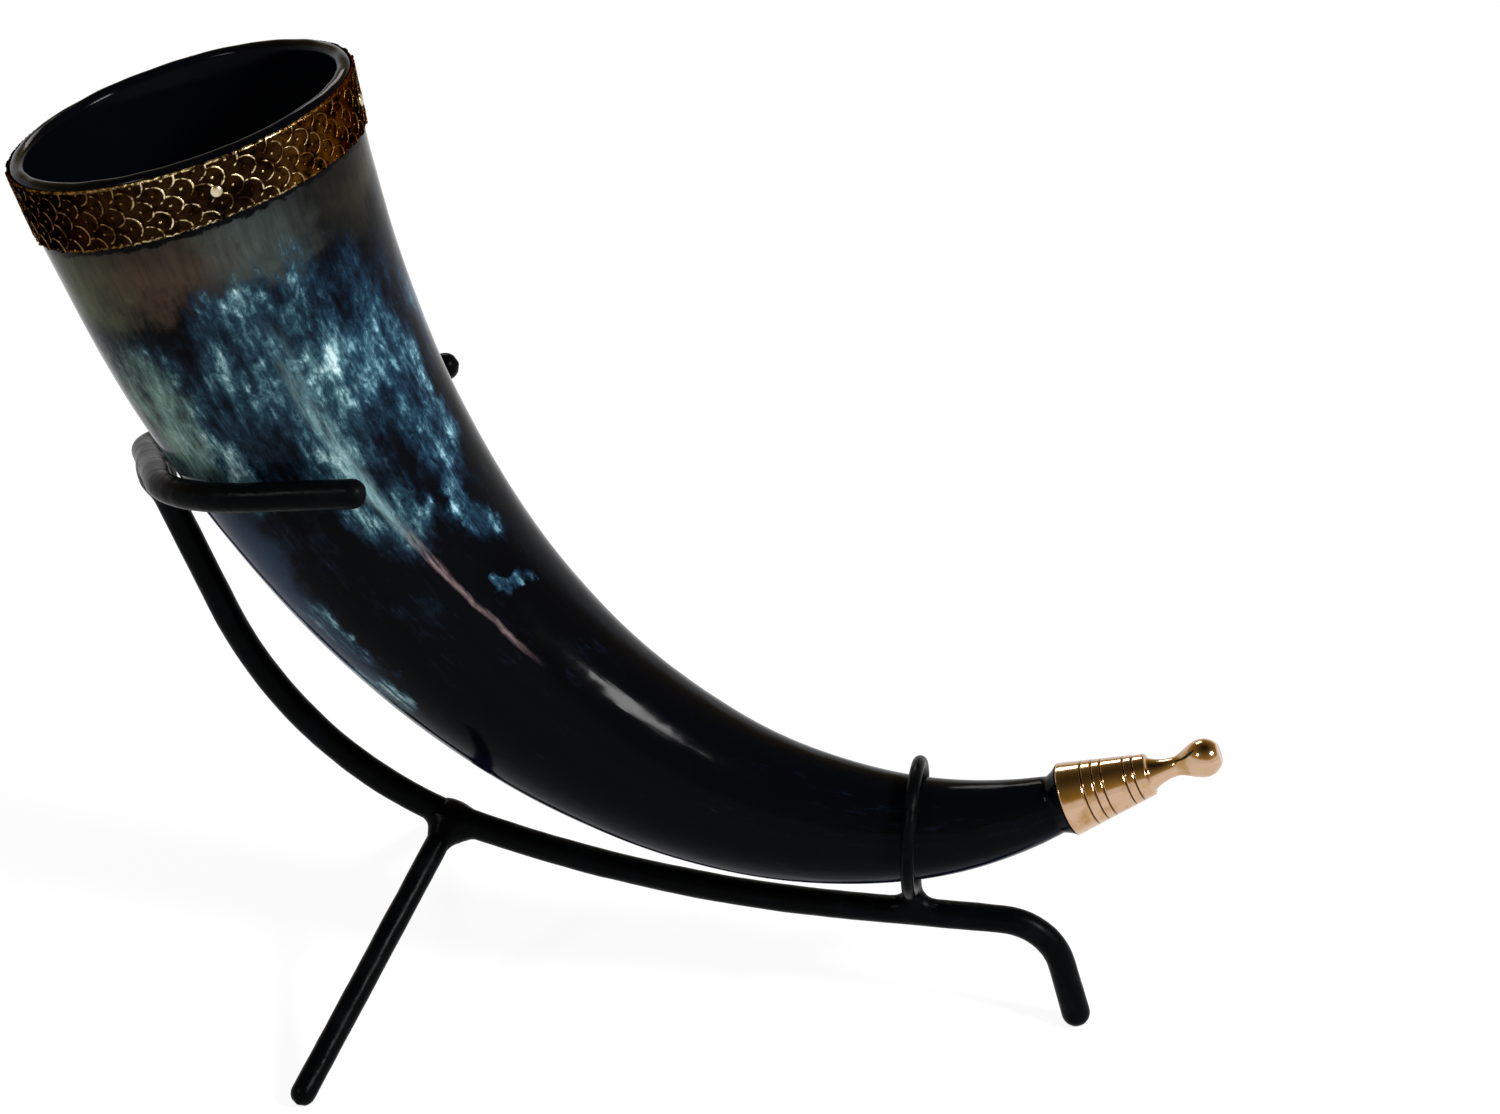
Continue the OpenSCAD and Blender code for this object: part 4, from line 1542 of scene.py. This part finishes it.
@dataclass(frozen=True)
class ForgedRod:
    """A round bar along a route, with domed ends and slight hammer marks."""

    node: str
    route: np.ndarray
    radius: float
    looped: bool = False
    dome_start: bool = True
    seed: int = 0
    sides: int = 24
    step: float = 0.7 * MM
    unevenness: float = 0.22 * MM
    # Size and weight of each layer of hammer marks, the noise that leaves the bar as it is, and the least dome
    MARKS: ClassVar[tuple[Span, ...]] = ((14 * MM, 1.2), (4.5 * MM, 0.7))
    UNMARKED: ClassVar[float] = 0.72
    LEAST_DOME: ClassVar[float] = 0.01

    @classmethod
    def tree(cls) -> GrowthTree:
        """Makes the tree that turns a curve into such a bar.

        Returns:
            The tree.
        """
        tree = GrowthTree(
            "forged_bar",
            {
                "Radius": "NodeSocketFloat",
                "Step": "NodeSocketFloat",
                "Sides": "NodeSocketInt",
                "Unevenness": "NodeSocketFloat",
                "Seed": "NodeSocketFloat",
                "Dome Start": "NodeSocketFloat",
                "Dome End": "NodeSocketFloat",
                "Material": "NodeSocketMaterial",
            },
        )
        given = tree.given
        feeds = {"Curve": given["Geometry"], "Length": given["Step"]}
        even = tree.add("GeometryNodeResampleCurve", feeds, mode="LENGTH")
        along = tree.add("GeometryNodeSplineParameter").outputs["Length"]
        whole = tree.add("GeometryNodeSplineLength").outputs["Length"]
        thick: Optional[Socket] = None
        for distance, wanted in ((along, "Dome Start"), (tree.maths("SUBTRACT", whole, along), "Dome End")):
            inward = tree.flipped(tree.maths("DIVIDE", distance, given["Radius"], clamp=True))
            cut = tree.times(tree.maths("POWER", inward, 2.0), given[wanted])
            dome = tree.maths("SQRT", tree.maths("MAXIMUM", tree.flipped(cut), cls.LEAST_DOME))
            thick = dome if thick is None else tree.times(thick, dome)
        circle = tree.add(
            "GeometryNodeCurvePrimitiveCircle", {"Resolution": given["Sides"], "Radius": given["Radius"]}, mode="RADIUS"
        )
        bar = tree.add(
            "GeometryNodeCurveToMesh",
            {"Curve": even.outputs[0], "Profile Curve": circle.outputs[0], "Scale": thick, "Fill Caps": True},
        )
        place = tree.add("GeometryNodeInputPosition").outputs[0]
        facing = tree.add("GeometryNodeInputNormal").outputs[0]
        marks: Optional[Socket] = None
        for size, weight in cls.MARKS:
            feeds = {"Vector": place, "W": given["Seed"], "Scale": 1 / size, "Detail": 1.0}
            height = tree.add("ShaderNodeTexNoise", feeds, noise_dimensions="4D").outputs["Fac"]
            mark = tree.times(tree.maths("SUBTRACT", height, cls.UNMARKED), weight)
            marks = mark if marks is None else tree.plus(marks, mark)
        reach = tree.times(marks, given["Unevenness"])
        push = tree.add("ShaderNodeVectorMath", {0: facing, "Scale": reach}, operation="SCALE")
        hammered = tree.add("GeometryNodeSetPosition", {"Geometry": bar.outputs[0], "Offset": push.outputs[0]})
        tree.close(hammered.outputs[0])
        return tree

    def mesh(self, tree: GrowthTree, finish: bpy.types.Material) -> bpy.types.Mesh:
        """Returns the bar as a mesh, worn flat where it meets the table.

        Args:
            tree: The tree of all forged rods.
            finish: Its material.

        Returns:
            The mesh.
        """
        curve = bpy.data.curves.new(self.node + "_route", "CURVE")
        curve.dimensions = "3D"
        spline = curve.splines.new("POLY")
        spline.points.add(len(self.route) - 1)
        spline.points.foreach_set("co", np.c_[self.route, np.ones(len(self.route))].astype(np.float32).ravel())
        spline.use_cyclic_u = self.looped
        mesh = tree.grow(
            self.node,
            curve,
            {
                "Radius": self.radius,
                "Step": self.step,
                "Sides": self.sides,
                "Unevenness": self.unevenness,
                "Seed": float(self.seed),
                "Dome Start": 0.0 if self.looped or not self.dome_start else 1.0,
                "Dome End": 0.0 if self.looped else 1.0,
                "Material": finish,
            },
        )
        points = mesh_points(mesh)
        points[:, 2] = np.maximum(points[:, 2], 0)
        move_points(mesh, points)
        return mesh

    def distance(self, place: np.ndarray) -> float:
        """Measures how far a place is outside the bar's surface.

        Args:
            place: The place.

        Returns:
            The distance in metres, below 0 inside the bar.
        """
        starts, ends = self.route[:-1], self.route[1:]
        runs = ends - starts
        shares = np.clip(((place - starts) * runs).sum(1) / np.maximum((runs * runs).sum(1), 1e-12), 0, 1)
        return float(np.linalg.norm(place - starts - shares[:, None] * runs, axis=1).min()) - self.radius


@dataclass(frozen=True)
class WeldBead:
    """A lump of weld metal that fills in round the rods that meet at a place."""

    node: str
    middle: np.ndarray
    rods: tuple[ForgedRod, ...]
    reach: float
    fillet: float
    bead: float
    fineness: int = 5
    seed: int = 0
    cover: float = 0.15 * MM
    ripple: float = 0.16 * MM
    ripple_size: float = 2.4 * MM
    halvings: int = 14

    def mesh(self) -> bpy.types.Mesh:
        """Makes the bead: each ray from its middle ends where the blended surface of the rods lies.

        Returns:
            The mesh.
        """
        ball = bpy.data.meshes.new(self.node)
        rays, faces = icosphere(self.fineness)
        lengths = np.array([self.ray_length(ray) for ray in rays])
        lengths += self.ripple * unevenness(rays * self.reach, self.ripple_size, self.seed)
        ball.from_pydata((self.middle + rays * lengths[:, None]).tolist(), [], faces)
        ball.update()
        return ball

    def outside(self, place: np.ndarray) -> float:
        """Measures how far a place is outside the blended metal.

        Args:
            place: The place.

        Returns:
            The distance in metres, below 0 inside the metal.
        """
        blended = float(np.linalg.norm(place - self.middle)) - self.bead
        for rod in self.rods:
            blended = smooth_least(blended, rod.distance(place) + self.cover, self.fillet)
        return blended

    def ray_length(self, ray: np.ndarray) -> float:
        """Measures how far the metal goes along a ray, up to the bead's reach.

        Args:
            ray: The ray's direction, of length 1.

        Returns:
            The distance in metres.
        """
        near, far = 0.0, self.reach
        if self.outside(self.middle + ray * far) < 0:
            return far
        for _ in range(self.halvings):
            half = (near + far) / 2
            if self.outside(self.middle + ray * half) < 0:
                near = half
            else:
                far = half
        return near


def icosphere(fineness: int) -> tuple[np.ndarray, list[list[int]]]:
    """Makes a round ball of radius 1.

    Args:
        fineness: How often its triangles are split.

    Returns:
        Its points, and the point numbers of each face.
    """
    ball = bmesh.new()
    bmesh.ops.create_icosphere(ball, subdivisions=fineness, radius=1.0)
    points = np.array([point.co[:] for point in ball.verts])
    faces = [[point.index for point in face.verts] for face in ball.faces]
    ball.free()
    return points, faces


@dataclass(frozen=True)
class Stand:
    """The iron stand: spine, cradle, hoop and two rear legs, welded where they meet."""

    line: HornLine
    rod: float = 6.35 * MM / 2
    leg: float = 5.6 * MM / 2
    wire: float = 3 * MM / 2
    worn: float = 0.35 * MM
    hoop_gap: float = 1.3 * MM
    cradle_gap: float = 0.6 * MM
    cradle_share: float = 0.28
    cradle_rise: float = 12
    cradle_roll: float = 2.5
    cradle_twist: float = 4.5
    cradle_shares: tuple[tuple[float, float], ...] = ((0.59, -1.05), (-0.7, -1), (-1.6, 0.77), (0.6, 1.09))
    cradle_radii: tuple[float, float] = (30 * MM, 9 * MM)
    spine_shares: tuple[float, float] = (0.473, 0.708)
    spine_off: tuple[float, float] = (31.5 * MM, 11.3 * MM)
    spine_radii: tuple[float, float, float] = (87 * MM, 300 * MM, 14 * MM)
    spine_drop: float = 9.7 * MM
    knee_run: float = 30 * MM
    foot_run: float = 6.6 * MM
    leg_turn_share: float = 0.89
    leg_spread: float = 57.5 * MM
    leg_back: float = 18.8 * MM
    leg_inset: float = 0.8
    bend_step: float = 1.5 * MM
    butt_step: float = 0.2 * MM
    hoop_points: int = 72
    hoop_sides: int = 18
    hoop_step: float = 0.6 * MM
    hoop_unevenness: float = 0.1 * MM
    # Reach, fillet and bead of each weld
    cradle_weld: tuple[float, float, float] = (6.5 * MM, 2.6 * MM, 3.6 * MM)
    hoop_weld: tuple[float, float, float] = (6.2 * MM, 3.4 * MM, 2.2 * MM)
    leg_weld: tuple[float, float, float] = (7 * MM, 4 * MM, 3.2 * MM)

    def cradle_route(self) -> np.ndarray:
        """Lays out the cradle: a skewed bend, a little twisted, rolled and tipped up toward its arms.

        Returns:
            The route.
        """
        arm = float(self.line.radius(self.cradle_share)) + self.cradle_gap + self.rod
        flat = rounded_route(np.array(self.cradle_shares) * arm, self.cradle_radii, self.bend_step)
        lift = math.tan(math.radians(self.cradle_twist)) / arm * flat[:, 0] * flat[:, 1]
        roll, rise = math.radians(self.cradle_roll), math.radians(self.cradle_rise)
        side = flat[:, 1] * math.cos(roll) + lift * math.sin(roll)
        up = lift * math.cos(roll) - flat[:, 1] * math.sin(roll)
        middle_x, middle_z = self.line.centre(self.cradle_share)
        x = middle_x + flat[:, 0] * math.cos(rise) - up * math.sin(rise)
        z = middle_z + flat[:, 0] * math.sin(rise) + up * math.cos(rise)
        return np.stack([x, side, z], -1)

    def hitch(self) -> np.ndarray:
        """Finds where the cradle's back bar crosses the middle plane.

        Returns:
            The place.
        """
        route = self.cradle_route()
        crossing = int(np.argmax(route[:, 1] > 0))
        before, after = route[crossing - 1], route[crossing]
        return before - before[1] / (after[1] - before[1]) * (after - before)

    def below(self, share: float, off: float) -> np.ndarray:
        """Finds a place below the horn.

        Args:
            share: Share of the horn's length.
            off: Distance off its surface.

        Returns:
            X and Z of the place.
        """
        heading = float(self.line.heading(np.array(share)))
        middle_x, middle_z = self.line.centre(share)
        reach = float(self.line.radius(share)) + off
        return np.array([middle_x + reach * math.sin(heading), middle_z - reach * math.cos(heading)])

    @property
    def spine_height(self) -> float:
        """Height of the spine under the hoop."""
        return self.line.hoop_at[1] - float(self.line.radius(self.line.hoop_share)) - self.spine_drop

    def spine_corners(self) -> list[np.ndarray]:
        """Lays out the spine's corners, from the cradle to the front foot.

        Returns:
            X and Z of each corner.
        """
        hitch = self.hitch()[[0, 2]]
        turn_in = self.below(self.spine_shares[0], self.spine_off[0])
        toward = (turn_in - hitch) / np.linalg.norm(turn_in - hitch)
        under_x = self.below(self.spine_shares[1], self.spine_off[1])[0]
        knee = np.array([self.line.hoop_at[0] + self.knee_run, self.spine_height])
        foot = np.array([knee[0] + self.foot_run, self.rod - self.worn])
        sole = foot + self.rod * (foot - knee) / np.linalg.norm(foot - knee)
        return [hitch + self.rod * toward, turn_in, np.array([under_x, self.spine_height]), knee, sole]

    def spine_route(self) -> np.ndarray:
        """Returns the spine's route."""
        flat = rounded_route(self.spine_corners(), self.spine_radii, self.bend_step)
        return np.stack([flat[:, 0], 0 * flat[:, 0], flat[:, 1]], -1)

    def leg_top(self) -> np.ndarray:
        """Finds the place on the spine's long bend where the legs are butted.

        Returns:
            The place.
        """
        corners, radius = self.spine_corners(), self.spine_radii[0]
        bend = rounded_route(corners[:3], (radius,), self.butt_step)[1:-1]
        spot = bend[round(self.leg_turn_share * (len(bend) - 1))]
        return np.array([spot[0], 0, spot[1]])

    def leg_route(self, side: int) -> np.ndarray:
        """Returns the route of one rear leg, from the spine to its sole.

        Args:
            side: -1 for the near leg and 1 for the far one.

        Returns:
            The two ends.
        """
        top = self.leg_top()
        run = np.array([-self.leg_back, side * self.leg_spread, self.leg - self.worn - top[2]])
        way = run / np.linalg.norm(run)
        return np.array([top + self.leg_inset * self.rod * way, top + run + self.leg * way])

    def hoop_route(self) -> np.ndarray:
        """Lays out the ring of the tip hoop.

        Returns:
            The route.
        """
        ring = float(self.line.radius(self.line.hoop_share)) + self.hoop_gap + self.wire
        angle = np.linspace(0, 2 * math.pi, self.hoop_points, endpoint=False)
        flat = np.full(len(angle), self.line.hoop_at[0])
        return np.stack([flat, ring * np.sin(angle), self.line.hoop_at[1] + ring * np.cos(angle)], -1)

    def build(self) -> None:
        """Builds every rod and weld and puts each in place of its CAD node."""
        finish = BlackPaint().material()
        tree = ForgedRod.tree()
        spine = ForgedRod("spine_rod", self.spine_route(), self.rod, dome_start=False, seed=1)
        cradle = ForgedRod("cradle", self.cradle_route(), self.rod, seed=2)
        hoop = ForgedRod(
            "tip_hoop",
            self.hoop_route(),
            self.wire,
            looped=True,
            seed=3,
            sides=self.hoop_sides,
            step=self.hoop_step,
            unevenness=self.hoop_unevenness,
        )
        near = ForgedRod("near_rear_leg", self.leg_route(-1), self.leg, dome_start=False, seed=4)
        far = ForgedRod("far_rear_leg", self.leg_route(1), self.leg, dome_start=False, seed=5)
        for rod in (spine, cradle, hoop, near, far):
            finish_piece(rod.mesh(tree, finish), rod.node, Body.STAND, finish)
        hoop_foot = np.array([self.line.hoop_at[0], 0, self.spine_height + self.rod])
        leg_root = self.leg_top() - (0, 0, self.rod)
        beads = (
            WeldBead("cradle_weld", spine.route[0], (spine, cradle), *self.cradle_weld, seed=6),
            WeldBead("hoop_weld", hoop_foot, (spine, hoop), *self.hoop_weld, seed=7),
            WeldBead("leg_weld", leg_root, (spine, near, far), *self.leg_weld, seed=8),
        )
        for bead in beads:
            finish_piece(bead.mesh(), bead.node, Body.STAND, finish)


# The studio


@dataclass(frozen=True)
class Lamp:
    """A soft rectangular lamp aimed at the object."""

    name: str
    place: tuple[float, float, float]
    size: tuple[float, float]
    watts: float
    aim: tuple[float, float, float] = (0, 0, 0.09)

    def hang(self) -> None:
        """Adds the lamp to the scene."""
        light = bpy.data.lights.new(self.name, "AREA")
        light.shape = "RECTANGLE"
        light.size, light.size_y = self.size
        light.energy = self.watts
        lamp = bpy.data.objects.new(self.name, light)
        lamp.location = self.place
        lamp.rotation_euler = (Vector(self.aim) - Vector(self.place)).to_track_quat("-Z", "Y").to_euler()
        bpy.context.scene.collection.objects.link(lamp)


@dataclass(frozen=True)
class Studio:
    """White ground, soft lamps and the camera."""

    floor_radius: float = 6.0
    floor_sides: int = 96
    floor_drop: float = 0.2 * MM
    # The floor as the object's light finds it, and the shade and glow that make it white where it is seen
    floor_matt: Colour = (0.8, 0.8, 0.8, 1)
    floor_shade: Colour = (0.17, 0.17, 0.17, 1)
    floor_glow: float = 0.88
    white: Colour = (1, 1, 1, 1)
    ambient: float = 0.26
    wall_top: float = 0.2
    ceiling_from: float = 0.34
    ceiling: Colour = tone("b59a4e")
    ceiling_middle: Colour = tone("262019")
    camera_turn: float = 9.6827
    camera_rise: float = 25.0927
    camera_place: tuple[float, float, float] = (0.12180, -0.56047, 0.37413)
    lens: float = 72.0
    sensor: float = 36.0

    def seen_white(self, tree: Tree) -> Socket:
        """Tells the rays that look at the surroundings from those that light the object.

        Args:
            tree: The nodes that it goes into.

        Returns:
            1 for a ray that looks straight, in a reflection or through glass, and 0 for the others.
        """
        path = tree.add("ShaderNodeLightPath").outputs
        seen = tree.maths("MAXIMUM", path["Is Camera Ray"], path["Is Glossy Ray"])
        return tree.maths("MAXIMUM", seen, path["Is Transmission Ray"])

    def world(self) -> None:
        """Sets the world: white low down, warm above and dark overhead where it is seen, and otherwise soft light."""
        world = bpy.data.worlds.new("studio_world")
        bpy.context.scene.world = world
        world.use_nodes = True
        tree = Tree(world.node_tree)
        ray = tree.add("ShaderNodeTexCoord").outputs["Generated"]
        height = tree.add("ShaderNodeSeparateXYZ", {0: ray}).outputs[2]
        walls = tree.add("ShaderNodeValToRGB", {0: height})
        walls.color_ramp.elements[1].position = self.wall_top
        for at, colour in ((self.ceiling_from, self.ceiling), (1.0, self.ceiling_middle)):
            walls.color_ramp.elements.new(at).color = colour
        walls.color_ramp.elements[0].color = walls.color_ramp.elements[1].color = self.white
        soft = tree.add("ShaderNodeBackground", {0: self.white, 1: self.ambient})
        room = tree.add("ShaderNodeBackground", {0: walls.outputs[0], 1: 1.0})
        mixed = tree.add("ShaderNodeMixShader", {0: self.seen_white(tree), 1: soft.outputs[0], 2: room.outputs[0]})
        tree.add("ShaderNodeOutputWorld", {0: mixed.outputs[0]})

    def floor(self) -> None:
        """Lays a pale round floor that keeps the object's shadow."""
        angle = np.linspace(0, 2 * math.pi, self.floor_sides, endpoint=False)
        rim = self.floor_radius * np.stack([np.cos(angle), np.sin(angle), 0 * angle], -1) - (0, 0, self.floor_drop)
        mesh = bpy.data.meshes.new("floor")
        mesh.from_pydata(rim.tolist(), [], [list(range(len(angle)))])
        material = bpy.data.materials.new("pale_floor")
        material.use_nodes = True
        tree = Tree(material.node_tree)
        matt = tree.add("ShaderNodeBsdfDiffuse", {0: self.floor_matt})
        shown = tree.add("ShaderNodeBsdfDiffuse", {0: self.floor_shade})
        glow = tree.add("ShaderNodeEmission", {0: self.white, 1: self.floor_glow})
        lit = tree.add("ShaderNodeAddShader", {0: shown.outputs[0], 1: glow.outputs[0]})
        mixed = tree.add("ShaderNodeMixShader", {0: self.seen_white(tree), 1: matt.outputs[0], 2: lit.outputs[0]})
        tree.add("ShaderNodeOutputMaterial", {0: mixed.outputs[0]})
        mesh.materials.append(material)
        floor = bpy.data.objects.new("floor", mesh)
        bpy.context.scene.collection.objects.link(floor)

    def camera(self) -> None:
        """Sets the camera: where it stands, which way it looks, and its lens."""
        turn, rise = math.radians(self.camera_turn), math.radians(self.camera_rise)
        back = Vector((math.sin(turn) * math.cos(rise), -math.cos(turn) * math.cos(rise), math.sin(rise)))
        lens = bpy.data.cameras.new("camera")
        lens.lens = self.lens
        lens.sensor_width = self.sensor
        camera = bpy.data.objects.new("camera", lens)
        camera.location = self.camera_place
        camera.rotation_euler = (-back).to_track_quat("-Z", "Y").to_euler()
        bpy.context.scene.collection.objects.link(camera)
        bpy.context.scene.camera = camera

    def build(self) -> None:
        """Sets up the world, floor, lamps and camera."""
        bpy.context.scene.view_settings.view_transform = "Standard"
        self.world()
        self.floor()
        self.camera()
        lamps = (
            Lamp("right_softbox", (0.85, -0.28, 0.78), (0.3, 0.19), 15.0),
            Lamp("left_softbox", (-0.7, -0.8, 0.9), (0.22, 0.22), 4.0),
            Lamp("back_softbox", (-0.3, 0.9, 0.8), (0.4, 0.25), 3.0),
        )
        for lamp in lamps:
            lamp.hang()


def main() -> None:
    """Builds the cup, its stand and the studio, and writes how big the result is."""
    logging.basicConfig(level=logging.INFO, format="%(name)s: %(message)s")
    line = HornLine()
    band = RimBand(line)
    for assembly in (HornShell(line), band, BandNails(line, band), TipFinial(line), Stand(line), Studio()):
        LOG.info("building %s", type(assembly).__name__)
        assembly.build()


if __name__ == "__main__":
    main()
